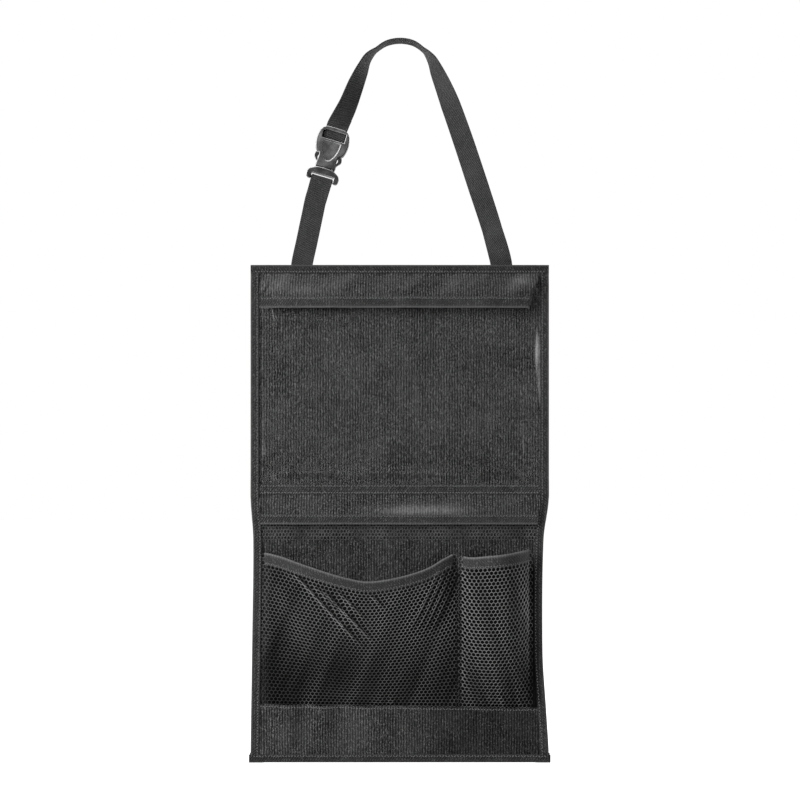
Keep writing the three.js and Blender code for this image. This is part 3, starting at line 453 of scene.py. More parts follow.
def filmMaterial():
    # Thin film: almost clear face on and brighter at a glancing angle; its creases are painted highlights,
    # noise lines of stronger reflection
    material, tree, shader = newMaterial("clearFilm", Metallic=1.0, Base_Color=grey(235))
    place = objectPlace(tree)
    facing = put(tree, "ShaderNodeLayerWeight", {"Blend": 0.35}).outputs["Facing"]
    slant = {"Vector": place, "Rotation": (0.0, 0.62, 0.0), "Scale": (70.0, 16.0, 9.0)}
    crease = noise(tree, out(tree, "ShaderNodeMapping", slant), 1.0, 3.0)
    line = ramp(tree, crease, 0.63, 0.76)
    creaseHighlight = calc(tree, "MULTIPLY", line, calc(tree, "MULTIPLY_ADD", vertexShare(tree, "creaseHighlight"), 0.11, 0.012))
    smear = groupNode(tree, dustAndRub, {"Vector": place, "Patch Size": 0.045})["Mask"]
    veil = calc(tree, "MULTIPLY_ADD", smear, 0.009, 0.003)
    glance = calc(tree, "MULTIPLY", calc(tree, "POWER", facing, 3.0), 0.26)
    tree.links.new(calc(tree, "ADD", calc(tree, "ADD", glance, veil), creaseHighlight), shader.inputs["Alpha"])
    tree.links.new(calc(tree, "MULTIPLY_ADD", smear, 0.12, 0.08), shader.inputs["Roughness"])
    return material


def plasticMaterial(name, dark, light, highlightGrey=None):
    # The last grey, where given, is a painted highlight on faces turned towards the key light
    material, tree, shader = newMaterial(name, Specular_IOR_Level=0.2)
    place = objectPlace(tree)
    grain = noise(tree, place, 1400.0, 2.0)
    dust = groupNode(tree, dustAndRub, {"Vector": place, "Patch Size": 0.008})["Mask"]
    body = blended(tree, dust, grey(dark), grey(light))
    if highlightGrey:
        normal = put(tree, "ShaderNodeNewGeometry").outputs["Normal"]
        toLight = {0: normal, 1: (-0.5, -0.62, 0.6)}
        facing = put(tree, "ShaderNodeVectorMath", toLight, operation="DOT_PRODUCT").outputs["Value"]
        lit = ramp(tree, facing, 0.35, 0.8)
        body = blended(tree, lit, body, grey(highlightGrey))
    tree.links.new(body, shader.inputs["Base Color"])
    tree.links.new(calc(tree, "MULTIPLY_ADD", dust, 0.14, 0.26), shader.inputs["Roughness"])
    bumped(tree, shader, grain, 0.00004)
    return material


finish = {
    "cloth": ribbedCloth("ribbedCloth", 16, 86, 142),
    "lining": ribbedCloth("ribbedLining", 16, 78, 130),
    "rear": ribbedCloth("rearCloth", 26, 62, 84),
    "tape": wovenTape("wovenTape", 18, 84, wale=0.0026, yarn=0.0019, highlightLevel=124),
    "satin": wovenTape("satinTape", 46, 78, wale=0.0024, yarn=0.0016, depth=0.0001, highlightLevel=142),
    "binding": wovenTape("bindingTape", 14, 80, wale=0.0026, yarn=0.0021, highlightLevel=96),
    "webbing": wovenTape("twillWebbing", 38, 102, wale=0.0021, yarn=0.0009, depth=0.0004, flecks=0.2),
    "closure": wovenTape("hookAndLoop", 30, 46, wale=0.0009, yarn=0.0009, depth=0.0005),
    "net": threadMaterial("netYarn", 112, 196),
    "thread": threadMaterial("sewingThread", 104, 158),
    "film": filmMaterial(),
    "plastic": plasticMaterial("buckleBlack", 64, 118),
    "plugPlastic": plasticMaterial("plugBlack", 46, 80),
    # Buckle edges: painted highlight where they face the key light
    "plasticEdgeHighlight": plasticMaterial("buckleEdgeHighlight", 40, 70, highlightGrey=250),
}
print("materials made")


# Geometry Nodes: stitches along seams, and knotless netting
def geometryTree(name, wholes, floats):
    tree = bpy.data.node_groups.new(name, "GeometryNodeTree")
    newSocket(tree, "Geometry", "Geometry")
    newSocket(tree, "Geometry", "Geometry", "OUTPUT")
    for kind, labels in (("Int", wholes), ("Float", floats), ("Material", ["Material"])):
        for label in labels:
            newSocket(tree, label, kind)
    return tree, put(tree, "NodeGroupInput").outputs


def grow(tree, kind, inputs=None, **settings):
    return out(tree, "GeometryNode" + kind, inputs, **settings)


def settled(base, name):
    # The mesh that an object's modifiers make; the object itself goes
    graph = bpy.context.evaluated_depsgraph_get()
    mesh = bpy.data.meshes.new_from_object(base.evaluated_get(graph))
    mesh.name = name
    old = base.data
    bpy.data.objects.remove(base)
    bpy.data.meshes.remove(old)
    return mesh


def grown(tree, start, name, values):
    # Runs a tree on a starting mesh and gives back a plain mesh object
    base = placed(name + "Start", start)
    modifier = base.modifiers.new("grow", "NODES")
    modifier.node_group = tree
    for item in tree.interface.items_tree:
        if item.in_out == "INPUT" and item.name in values:
            modifier[item.identifier] = values[item.name]
    return placed(name, settled(base, name))


def makeStitchTree():
    tree, given = geometryTree("seamStitches", [], ["Spacing", "Stitch Length", "Thread Width", "Slant"])
    curve = grow(tree, "MeshToCurve", {0: given["Geometry"]})
    spaced = grow(tree, "ResampleCurve", {"Curve": curve, "Length": given["Spacing"]}, mode="LENGTH")
    tangent = grow(tree, "InputTangent")
    facing = grow(tree, "InputNamedAttribute", {"Name": "outward"}, data_type="FLOAT_VECTOR")
    aligned = "FunctionNodeAlignRotationToVector"
    along = out(tree, aligned, {"Vector": tangent}, axis="X")
    stood = out(tree, aligned, {"Rotation": along, "Vector": facing}, axis="Z", pivot_axis="X")
    index = grow(tree, "InputIndex")
    swap = calc(tree, "MULTIPLY_ADD", calc(tree, "MODULO", index, 2.0), 2.0, -1.0)
    angle = calc(tree, "MULTIPLY", swap, given["Slant"])
    turn = out(tree, "FunctionNodeAxisAngleToRotation", {"Axis": (0, 0, 1), "Angle": angle})
    slanted = out(tree, "FunctionNodeRotateRotation", {0: stood, 1: turn}, rotation_space="LOCAL")
    bead = grow(tree, "MeshUVSphere", {"Segments": 6, "Rings": 4, "Radius": 0.5})
    flatness = calc(tree, "MULTIPLY", given["Thread Width"], 0.7)
    lengths = {0: given["Stitch Length"], 1: given["Thread Width"], 2: flatness}
    size = out(tree, "ShaderNodeCombineXYZ", lengths)
    stitch = grow(tree, "Transform", {"Geometry": bead, "Scale": size})
    laid = grow(tree, "InstanceOnPoints", {"Points": spaced, "Instance": stitch, "Rotation": slanted})
    real = grow(tree, "RealizeInstances", {0: laid})
    smooth = grow(tree, "SetShadeSmooth", {0: real})
    done = grow(tree, "SetMaterial", {"Geometry": smooth, "Material": given["Material"]})
    put(tree, "NodeGroupOutput", {"Geometry": done})
    return tree


def makeNetTree():
    sizes = ["Hole Pitch", "Hole Share", "Yarn Height"]
    tree, given = geometryTree("knotlessNet", ["Columns", "Rows"], sizes)
    pitch = given["Hole Pitch"]
    rowPitch = calc(tree, "MULTIPLY", pitch, math.sqrt(0.75))
    grid = grow(tree, "MeshGrid", {
        "Size X": calc(tree, "MULTIPLY", pitch, calc(tree, "SUBTRACT", given["Columns"], 1.0)),
        "Size Y": calc(tree, "MULTIPLY", rowPitch, calc(tree, "SUBTRACT", given["Rows"], 1.0)),
        "Vertices X": given["Columns"],
        "Vertices Y": given["Rows"],
    })
    row = calc(tree, "MODULO", grow(tree, "InputIndex"), given["Rows"])
    odd = calc(tree, "MODULO", row, 2.0)
    halfStep = calc(tree, "MULTIPLY", odd, calc(tree, "MULTIPLY", pitch, 0.5))
    shift = out(tree, "ShaderNodeCombineXYZ", {0: halfStep})
    staggered = grow(tree, "SetPosition", {"Geometry": grid, "Offset": shift})
    radius = calc(tree, "MULTIPLY", pitch, 1 / math.sqrt(3))
    ring = grow(tree, "MeshCircle", {"Vertices": 12, "Radius": radius}, fill_type="NGON")
    turned = grow(tree, "Transform", {"Geometry": ring, "Rotation": (0.0, 0.0, math.pi / 2)})
    flatSide = calc(tree, "MODULO", grow(tree, "InputIndex"), 2.0)
    pull = calc(tree, "MULTIPLY_ADD", flatSide, math.sqrt(0.75) - 1, 1.0)
    position = grow(tree, "InputPosition")
    hexagon = grow(tree, "SetPosition", {
        "Geometry": turned,
        "Position": out(tree, "ShaderNodeVectorMath", {0: position, "Scale": pull}, operation="SCALE"),
    })
    cells = grow(tree, "InstanceOnPoints", {"Points": staggered, "Instance": hexagon})
    real = grow(tree, "RealizeInstances", {0: cells})
    joined = grow(tree, "MergeByDistance", {"Geometry": real, "Distance": 0.00005})
    flatStep = {"Mesh": joined, "Offset Scale": 0.0, "Individual": True}
    raised = put(tree, "GeometryNodeExtrudeMesh", flatStep, mode="FACES").outputs
    shrunk = grow(tree, "ScaleElements", {
        "Geometry": raised["Mesh"],
        "Selection": raised["Top"],
        "Scale": given["Hole Share"],
    })
    holed = grow(tree, "DeleteGeometry", {"Geometry": shrunk, "Selection": raised["Top"]}, domain="FACE")
    sides = grow(tree, "InputMeshEdgeNeighbors")
    lone = out(tree, "FunctionNodeCompare", {2: sides, 3: 1}, data_type="INT", operation="EQUAL")
    border = grow(tree, "FieldOnDomain", {0: lone}, data_type="BOOLEAN", domain="EDGE")
    inside = out(tree, "FunctionNodeBooleanMath", {0: border}, operation="NOT")
    halves = []
    for side in (0.5, -0.5):
        lift = out(tree, "ShaderNodeCombineXYZ", {2: calc(tree, "MULTIPLY", given["Yarn Height"], side)})
        face = holed if side > 0 else grow(tree, "FlipFaces", {0: holed})
        halves.append(grow(tree, "SetPosition", {"Geometry": face, "Selection": inside, "Offset": lift}))
    both = put(tree, "GeometryNodeJoinGeometry")
    for half in halves:
        tree.links.new(half, both.inputs[0])
    welded = grow(tree, "MergeByDistance", {"Geometry": both.outputs[0], "Distance": 0.00001})
    smooth = grow(tree, "SetShadeSmooth", {0: welded})
    done = grow(tree, "SetMaterial", {"Geometry": smooth, "Material": given["Material"]})
    put(tree, "NodeGroupOutput", {"Geometry": done})
    return tree


stitchTree = makeStitchTree()
netTree = makeNetTree()


def stitches(name, runs, spacing, length, width, slant):
    # runs are rows of points with the way that each faces
    points, facing, edges = [], [], []
    for line, normals in runs:
        start = len(points)
        points.extend(line * mm)
        facing.extend(normals)
        edges.extend((start + i, start + i + 1) for i in range(len(line) - 1))
    mesh = bpy.data.meshes.new(name + "Path")
    mesh.from_pydata([tuple(p) for p in points], edges, [])
    way = mesh.attributes.new("outward", "FLOAT_VECTOR", "POINT")
    way.data.foreach_set("vector", np.array(facing, np.float32).ravel())
    made = grown(stitchTree, mesh, name, {
        "Spacing": spacing * mm,
        "Stitch Length": length * mm,
        "Thread Width": width * mm,
        "Slant": slant,
        "Material": finish["thread"],
    })
    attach(made, "root")


def sew(surface, u, w, height):
    # Keeps one row of stitches: its points, and the way that each faces
    line = lifted(surface, u, w, height)
    seamLines.append((line, lifted(surface, u, w, height + 1.0) - line))


def netObject(name, surface, width, depth, start, knit, shade):
    # Flat netting is made first, and then laid on the surface that it hangs in
    pitch = knit["pitch"]
    mesh = bpy.data.meshes.new(name + "Flat")
    mesh.from_pydata([(0, 0, 0)], [], [])
    made = grown(netTree, mesh, name, {
        "Columns": int(width / pitch),
        "Rows": int(depth / (pitch * math.sqrt(0.75))),
        "Hole Pitch": pitch * mm,
        "Hole Share": knit["holeShare"],
        "Yarn Height": knit["yarn"] * mm,
        "Material": finish["net"],
    })
    count = len(made.data.vertices)
    flat = np.zeros(count * 3, np.float32)
    made.data.vertices.foreach_get("co", flat)
    flat = flat.reshape(-1, 3).astype(float) / mm
    low, high = flat.min(0), flat.max(0)
    u = start + (flat[:, 0] - low[0]) / (high[0] - low[0]) * width
    w = (flat[:, 1] - low[1]) / (high[1] - low[1]) * depth
    height = flat[:, 2]
    if "hems" in knit:
        # Yarn is pressed thinner where it is sewn in
        top, foot = knit["hems"]
        free = np.minimum(ease(top, top + 6, w), 1 - ease(depth - foot - 6, depth - foot, w))
        height = height * mix(0.6, 1, free)
    hung = lifted(surface, u, w, height)
    made.data.vertices.foreach_set("co", (hung * mm).astype(np.float32).ravel())
    writeFlat(made.data, np.stack([u, w], -1))
    # Painted shade over the netting, from the function given
    paint(made, "paintedShade", shade)
    made.data.update()
    return made


# Panel: edges, seams and the levels of what is sewn to it
panel = {
    "width": 300.0, "height": 500.0, "thick": 2.2, "bindingWidth": 8.5, "bindingOverhang": 1.2,
    "seamTuck": 4.5, "seamEase": 1.2, "leftWaist": 3.0, "rightWaist": 6.4,
}
topZ = panel["height"] / 2
bottomZ = -topZ
bindingEndZ = topZ - panel["bindingWidth"]
halfWidth = panel["width"] / 2
tuck = panel["seamTuck"]
easeOut = panel["seamEase"]
frontY = -panel["thick"]
edgeInset = layers["tape"] + gap
windowMouthZ = topZ - 23
windowBottomZ = topZ - 230.4
lowerFlapEndZ = windowBottomZ - 29
netBandEndZ = lowerFlapEndZ - 17
baseLeft = 59.0
baseRight = 55.0
leftInset = through([
    (bottomZ, 0),
    (bottomZ + baseLeft, panel["leftWaist"] * 0.25),
    ((bottomZ + netBandEndZ) / 2, panel["leftWaist"] * 0.5),
    (netBandEndZ, panel["leftWaist"] * 0.9),
    (windowBottomZ, 0),
])
rightInset = through([
    (bottomZ, 0),
    (bottomZ + baseRight, panel["rightWaist"] * 0.47),
    ((bottomZ + netBandEndZ) / 2, panel["rightWaist"]),
    (netBandEndZ, panel["rightWaist"] * 0.85),
    (windowBottomZ, 0),
])


def leftEdge(z):
    return leftInset(z) - halfWidth


def rightEdge(z):
    return halfWidth - rightInset(z)


def leftSeam(z):
    return leftEdge(z) + panel["bindingWidth"]


def rightSeam(z):
    return rightEdge(z) - panel["bindingWidth"]


def fromSeams(x, z):
    return np.minimum(x - leftSeam(z), rightSeam(z) - x)


def tuckedX(u, z):
    # Across the panel from seam to seam, with the edges tucked in under the bindings
    return mix(leftSeam(z) - tuck, rightSeam(z) + tuck, u / panel["width"])


def spread(count, inset=0.0):
    return np.linspace(inset, panel["width"] - inset, count)


def baseTopZ(x):
    return bottomZ + mix(baseLeft, baseRight, (x + halfWidth) / panel["width"])


filmLift = gap + layers["film"] / 2
netLift = gap + layers["net"] / 2
clothLift = gap + layers["cloth"] / 2
filmStack = gap * 2 + layers["film"]
netStack = gap * 2 + layers["net"]
clothStack = gap * 2 + layers["cloth"]
bindingLeg = panel["bindingWidth"] - edgeInset


def sideSwells(base):
    return [
        (bottomZ + 4, windowBottomZ - 8, 3, netStack),
        (bottomZ + base - 14, bottomZ + base + 3, 4, netStack + layers["cloth"] + gap),
        (windowBottomZ - 2, windowBottomZ + 12, 5, filmStack + edgeInset),
        (windowBottomZ - 2, windowMouthZ + 1, 6, filmStack),
    ]


def makePanel():
    zs = np.linspace(bottomZ + edgeInset, topZ - edgeInset, 220)
    shares = np.linspace(0, 1, 130)
    z, share = np.meshgrid(zs, shares, indexing="ij")
    x = mix(leftEdge(z) + edgeInset, rightEdge(z) - edgeInset, share)
    rim = fromSeams(x, z)
    quiet = ease(-1, 16, rim) * ease(0, 14, topZ - 12 - z) * ease(0, 14, z - bottomZ - 12)
    wave = 0.22 * waver(x, 46, 0.4) + 0.12 * waver(x + z * 0.12, 21, 1.9)
    front = at(x, frontY - 0.02 - np.maximum(0, 0.12 + wave) * quiet * 0.6, z)
    back = at(x, -0.25 * quiet * (0.5 + 0.5 * waver(x + z * 0.3, 60, 2.2)), z)
    back[..., 1] = np.minimum(back[..., 1], 0)
    return shellObject("backCloth", front, back, np.stack([x, z], -1), finish["lining"])


backCloth = keep(makePanel(), ["back_panel"])
backCloth.data.materials.append(finish["rear"])
for face in backCloth.data.polygons:
    if face.normal.y > 0.5:
        face.material_index = 1

sidePlaces = np.linspace(bottomZ + edgeInset + gap, topZ - edgeInset - gap, 260)
seamLines = []


def sewBinding(surface, along, front, back):
    # The thread lies a little sunk in both faces of the tape
    for side, lift in ((1, front), (-1, back)):
        height = side * (panel["thick"] / 2 + lift + layers["tape"] - 0.1)
        sew(surface, along, bindingLeg - stitchInset, height)


def sideBinding(name, node, edge, inward, swells):
    def surface(z, w):
        return at(edge(z) + inward * (edgeInset + w), frontY / 2, z)

    front = swelling(gap, swells)
    made = foldedBand(name, surface, sidePlaces, panel["thick"] / 2, bindingLeg, finish["binding"], front)
    keep(made, [node])
    along = sidePlaces[4:-4]
    sewBinding(surface, along, front(along), gap)
    return made


sideBinding("leftBinding", "left_binding", leftEdge, 1, sideSwells(baseLeft))
rightBinding = sideBinding("rightBinding", "right_binding", rightEdge, -1, sideSwells(baseRight))


def pocketShadowOnBinding(x, y, z):
    # The narrow pocket stands out in front of this stretch of the edge; its shadow is painted on the front of
    # the binding here
    level = ease(-196, -184, z) * (1 - ease(-56, -46, z))
    return level * (1 - ease(-3, 1, x - rightSeam(z) - 4.5)) * (y < -1)


paint(rightBinding, "paintedShade", pocketShadowOnBinding)


def endBinding(name, node, edgeZ, inward, stack, cornerLift):
    def surface(x, w):
        return at(x, frontY / 2, edgeZ + inward * (edgeInset + w))

    inner = halfWidth - panel["bindingWidth"] - 2

    def corners(lift):
        return [(-2 * halfWidth, -inner, 5, lift), (inner, 2 * halfWidth, 5, lift)]

    reach = halfWidth + (panel["bindingOverhang"] if edgeZ < 0 else -0.3)
    places = np.linspace(-reach, reach, 170)
    front = swelling(stack, corners(cornerLift))
    back = swelling(gap, corners(gap * 2 + layers["tape"]))
    made = foldedBand(name, surface, places, panel["thick"] / 2, bindingLeg, finish["binding"], front, back)
    # Painted shade over the front of the top and bottom bindings
    paint(made, "paintedShade", lambda x, y, z: 0.22 * (y < -1))
    keep(made, [node])
    along = places[3:-3]
    sewBinding(surface, along, front(along), back(along))


endBinding("topBinding", "top_binding", topZ, -1, clothStack, clothStack)
endBinding("bottomBinding", "bottom_binding", bottomZ, 1, clothStack, netStack + edgeInset)
print("panel and bindings made")

# Window pocket
window = {
    "depth": 9.0, "mouthDepth": 5.5, "hem": 8.0, "tape": 10.0,
    "crease": 0.5, "sideRun": 20.0, "mouthRun": 11.0,
}
filmSeamZ = windowBottomZ + window["tape"] + easeOut
filmFootZ = windowBottomZ + window["tape"] * 0.45


def filmWaves(x, z):
    return window["crease"] * (np.sin(x / 17 + z / 40) + 0.6 * np.sin(x / 31 - z / 23 + 1.4))


def filmDepth(x, z):
    side = fromSeams(x, z) - easeOut
    nearMouth = ease(windowMouthZ - 45, windowMouthZ - 4, z)
    run = mix(window["sideRun"], window["mouthRun"], nearMouth)
    room = ease(0, 1, side / run) * ease(0, 14, z - filmSeamZ)
    mouth = mix(window["depth"], window["mouthDepth"], nearMouth)
    quiet = 1 - ease(windowMouthZ - 40, windowMouthZ - 12, z)
    return room * (mouth + filmWaves(x, z) * quiet)


def windowSurface(u, w):
    z = windowMouthZ - w
    x = tuckedX(u, z)
    return at(x, frontY - filmLift - filmDepth(x, z), z)


filmHeight = windowMouthZ - filmFootZ
denseEdge = 26
filmUs = np.concatenate([
    np.linspace(0, denseEdge, 24)[:-1],
    spread(120, denseEdge),
    np.linspace(panel["width"] - denseEdge, panel["width"], 24)[1:],
])
filmWs = np.linspace(0, filmHeight, 150)
clearFilm = sheetObject("clearWindow", windowSurface, filmUs, filmWs, layers["film"], finish["film"])
# Painted crease highlights on the film grow towards its sides
paint(clearFilm, "creaseHighlight", lambda x, y, z: (np.abs(x) - 100) / 38)
keep(clearFilm, ["window_film"])

mouthTape = foldedBand(
    "windowMouthTape", windowSurface, spread(130, 17), layers["film"] / 2, window["hem"], finish["tape"])
keep(mouthTape, ["window_mouth_tape"])


def windowTapeSurface(u, w):
    z = windowBottomZ + window["tape"] - w
    x = tuckedX(u, z)
    edge = np.minimum(w, window["tape"] - w)
    wave = 0.12 * waver(x, 13, 0.3) * np.exp(-edge / 1.5) ** 2
    return at(x, frontY - filmStack - layers["tape"] / 2 - wave, z)


tapeWs = np.linspace(0, window["tape"], 9)
windowTape = sheetObject(
    "windowBottomTape", windowTapeSurface, spread(200), tapeWs, layers["tape"], finish["tape"])
keep(windowTape, ["window_bottom_tape"])
for inset in (stitchInset, window["tape"] - stitchInset):
    sew(windowTapeSurface, spread(200, 8), inset, layers["tape"] / 2)

# Flap over the mouth of the window
flap = {"drop": 34.5, "tape": 10.0, "inset": 1.5, "taper": 11.0, "wave": 0.9}
closureStack = layers["closure"] * 2 + gap * 3
hemFrontLift = filmLift + window["mouthDepth"] + layers["film"] / 2 + gap + layers["tape"]
flapLift = hemFrontLift + closureStack + layers["cloth"] / 2
flapTopZ = bindingEndZ + tuck
flapEndZ = bindingEndZ - flap["drop"]
flapSeamZ = bindingEndZ - easeOut


def flapRight(z):
    drop = 1 - ease(flapEndZ, bindingEndZ, z)
    return rightSeam(z) - flap["inset"] - flap["taper"] * drop


def flapLiftAt(x, z):
    hang = 1 - ease(windowMouthZ + 1, flapSeamZ, z)
    corner = mix(0.62, 1, ease(-6, 30, fromSeams(x, z)))
    free = 1 - ease(flapEndZ + 6, windowMouthZ - 6, z)
    wave = flap["wave"] * (np.sin(x / 13 + 0.7) + 0.5 * np.sin(x / 6.1)) * free
    fromFold = (x + 128.4) * 0.853 - (z - 235.7) * 0.521
    fold = 1.6 * ease(-9, 0, fromFold) * (1 - ease(0, 1.6, fromFold)) * ease(212, 222, z)
    ridge = 1.3 * hump(flapRight(z) - x, 3, 2.2)
    swell = 1.1 * hump(x, 14, 60) + 0.8 * hump(x, -70, 30)
    lift = flapLift * corner + np.maximum(wave, -0.2 * flap["wave"]) + 0.4 + swell * free
    return mix(clothLift, lift + fold + ridge, hang)


def flapHighlights(x, y, z):
    # Painted highlights where the cloth is pulled over what it covers, and along its two slanting creases
    corner = hump(x, -96, 16) * hump(z, 224, 5) + 0.7 * hump(x, -118, 10) * hump(z, 230, 6)
    right = hump(x, 122, 10) * hump(z, 233, 5)
    return 0.3 * corner + 0.45 * right + 0.12 * (0.5 + waver(x - z, 61, 0.6)) * ease(216, 226, z)


def flapSurface(u, w):
    z = flapEndZ + w
    x = mix(leftSeam(z) + flap["inset"], flapRight(z), u / panel["width"])
    return at(x, frontY - flapLiftAt(x, z), z)


flapWs = np.linspace(0, flapTopZ - flapEndZ, 44)
windowFlap = sheetObject("windowFlap", flapSurface, spread(220), flapWs, layers["cloth"], finish["cloth"])
paint(windowFlap, "paintedHighlight", flapHighlights)
keep(windowFlap, ["window_flap"])
flapTape = foldedBand(
    "windowFlapTape", flapSurface, spread(220), layers["cloth"] / 2, flap["tape"], finish["tape"], pucker=0.2)
keep(flapTape, ["window_flap_tape"])
flapFront = layers["cloth"] / 2 + gap + layers["tape"]
sew(flapSurface, spread(200, 3), flap["tape"] - stitchInset, flapFront)


def closureTape(name, node, lift):
    middle = windowMouthZ - window["hem"] / 2

    def surface(x, w):
        return at(x, frontY - lift + 0.08 * waver(x * 7 + w * 31, 9, 1), middle + 3.5 - w)

    us, ws = np.linspace(-60, 60, 90), np.linspace(0, 7, 10)
    made = sheetObject(name, surface, us, ws, layers["closure"], finish["closure"])
    keep(made, [node])


closureTape("closureHookTape", "closure_hook_tape", hemFrontLift + gap * 2 + layers["closure"] * 1.5)
closureTape("closureLoopTape", "closure_loop_tape", hemFrontLift + gap + layers["closure"] / 2)

# Short flap under the window, and the netting that shows below it
lowerFlapData = {"tape": 9.0, "stitchInset": 1.4, "bulge": 4.4}
lowerFlapTopZ = windowBottomZ + window["tape"] * 0.4


def lowerFlapLiftAt(x, z):
    hang = 1 - ease(windowBottomZ - 12, windowBottomZ - easeOut, z)
    belly = 0.75 + 0.25 * np.sin((x + halfWidth) / panel["width"] * math.pi)
    wave = 0.5 * np.sin(x / 19 + 0.5)
    crest = 2.6 * hump(x, 20, 46) * hump(z, lowerFlapEndZ + 15, 7)
    return mix(clothLift, clothLift + lowerFlapData["bulge"] * belly + wave + crest, hang)


def lowerFlapSurface(u, w):
    z = lowerFlapEndZ + w
    x = mix(leftSeam(z) + gap, rightSeam(z) - gap, u / panel["width"])
    return at(x, frontY - lowerFlapLiftAt(x, z), z)


lowerWs = np.linspace(0, lowerFlapTopZ - lowerFlapEndZ, 40)
lowerFlap = sheetObject(
    "lowerFlap", lowerFlapSurface, spread(200), lowerWs, layers["cloth"], finish["cloth"])
# Painted highlight on the crest of the flap's bulge
paint(lowerFlap, "paintedHighlight", lambda x, y, z: 0.75 * hump(x, 24, 42) * hump(z, lowerFlapEndZ + 13, 5))
keep(lowerFlap, ["lower_flap"])
lowerTape = foldedBand(
    "lowerFlapTape", lowerFlapSurface, spread(200), layers["cloth"] / 2, lowerFlapData["tape"],
    finish["tape"], pucker=0.2)
keep(lowerTape, ["lower_flap_tape"])
lowerInset = lowerFlapData["tape"] - lowerFlapData["stitchInset"]
sew(lowerFlapSurface, spread(200, 3), lowerInset, flapFront)


# Painted shade over the band, uneven along it
def bandShade(x, y, z):
    return 0.76 + 0.15 * waver(x, 53, 0.8)


def netBandSurface(u, w):
    z = netBandEndZ + w
    x = tuckedX(u, z)
    return at(x, frontY - netLift, z)


bandKnit = {"pitch": 3.5, "holeShare": 0.78, "yarn": 1.0}
netBand = netObject("netBand", netBandSurface, 299.0, 27.0, 0.5, bandKnit, bandShade)
keep(netBand, ["net_band"])
print("window, flaps and net band made")

# Net pockets
pocket = {
    "tape": 11.0, "wideDepth": 26.0, "wideSide": 152.0, "wideSag": 26.0, "wideFold": 2.2,
    "narrowWidth": 74.5, "narrowDepth": 40.0, "narrowHeight": 157.0, "narrowInset": 8.0,
    "dividerSeam": 4.0, "hem": 5.0,
}
dividerX = float(rightSeam(bottomZ)) - pocket["narrowInset"] - pocket["narrowWidth"]
leftStart = float(leftSeam(netBandEndZ))
sagRun = through([
    (0, 0.03), (0.1, 0.135), (0.19, 0.335), (0.34, 0.67), (0.44, 0.87),
    (0.54, 1), (0.69, 0.87), (0.84, 0.57), (0.93, 0.22), (1, 0.04),
])
dipRun = through([(0, 0.82), (0.14, 0.7), (0.4, 0.05), (0.77, -0.35), (1, -0.35)])


def widePocketTop(x):
    share = np.clip((x - leftStart) / (dividerX - leftStart), 0, 1)
    return bottomZ + baseLeft + pocket["wideSide"] - pocket["wideSag"] * sagRun(share)


def narrowPocketTop(x):
    share = np.clip((x - dividerX) / pocket["narrowWidth"], 0, 1)
    return bottomZ + baseRight + pocket["narrowHeight"] - 6 * dipRun(share)


widePocketFrom = leftStart - tuck


def pocketFootZ(x):
    return baseTopZ(x) + easeOut


widePulls = (
    # place across the pull, its start and end along it, and how deep it is
    (-115, -27, 76, 3.2), (-108, -6, 50, 1.6), (-104, 0, 82, 3.0), (-94, 14, 60, 1.6), (-73, 36, 70, 2.6),
)
wideBundle = (60, 66, 72.3, 79)
footBunches = ((-132, 4), (-121, 3), (-108, 4), (-22, 5), (-10, 3))


def pullShares(x, z):
    # Each pull as the distance from its line and how much of it there is
    slanting = 0.73 * x + 0.68 * z
    along = 0.68 * x - 0.73 * z
    for place, start, end, deep in widePulls:
        reach = ease(start - 4, start + 8, along) * (1 - ease(end - 34, end, along))
        yield slanting - place, reach, deep, 2.2, (0.73, 0.68)
    bundle = 0.9 * x - 0.44 * z
    for place in wideBundle:
        reach = ease(-50, -60, z) * (1 - ease(-90, -124, z))
        yield bundle - place, reach, 2.2, 1.8, (0.9, -0.44)


def widePocketFolds(x, z):
    # Straight pulls that start under the tape, a bundle beside the seam, and bunching at the foot
    total = np.zeros_like(x + z)
    for off, reach, deep, wide, _ in pullShares(x, z):
        total += deep * hump(off, 0, wide) * reach
    above = z - pocketFootZ(x)
    for place, wide in footBunches:
        bunch = hump(x - 0.35 * above, place, wide)
        total += 2.2 * bunch * ease(0, 4, above) * (1 - ease(6, 24, above))
    return total


def widePocketShade(x, y, z):
    # Painted shade: netting is darker down the far side of each pull, near the left seam and towards the foot
    total = 0.12 + 0.4 * (1 - ease(-128, -86, x)) + 0.6 * (1 - ease(-176, -92, z))
    total += 0.15 * ease(30, 56, x) + 0.3 * hump(x, -66, 26) * hump(z, -150, 24)
    for off, reach, *_ in pullShares(x, z):
        total += reach * (0.85 * hump(off, 1.3, 1.5) - 0.35 * hump(off, -2.2, 1.6))
    return total + 0.18 * waver(x - z * 0.4, 37, 1.1)


def widePocketDepthAt(x, z):
    start = leftSeam(z) + easeOut
    end = dividerX - pocket["dividerSeam"]
    share = (x - start) / (end - start)
    rise = (z - pocketFootZ(x)) / (widePocketTop(x) - pocketFootZ(x))
    safe = np.clip(share, 0, 1)
    low = np.clip(rise, 0, 1)
    across = np.sin(math.pi * safe) ** 0.85
    up = np.sin(math.pi / 2 * low) ** 0.9
    angle = np.arctan2(widePocketTop(x) - z, x - start + 12)
    fading = np.minimum(1, safe * 5) * np.minimum(1, (1 - safe) * 4) * np.minimum(1, low * 3)
    folds = np.sin(angle * 9 + 0.6) * fading
    depth = pocket["wideDepth"] * across * up + pocket["wideFold"] * folds * (1 - 0.6 * safe)
    outside = (share <= 0) | (share >= 1) | (rise <= 0)
    edges = np.minimum(1, np.minimum(safe, 1 - safe) * 14)
    return np.where(outside, 0, np.maximum(0, depth + widePocketFolds(x, z) * edges))


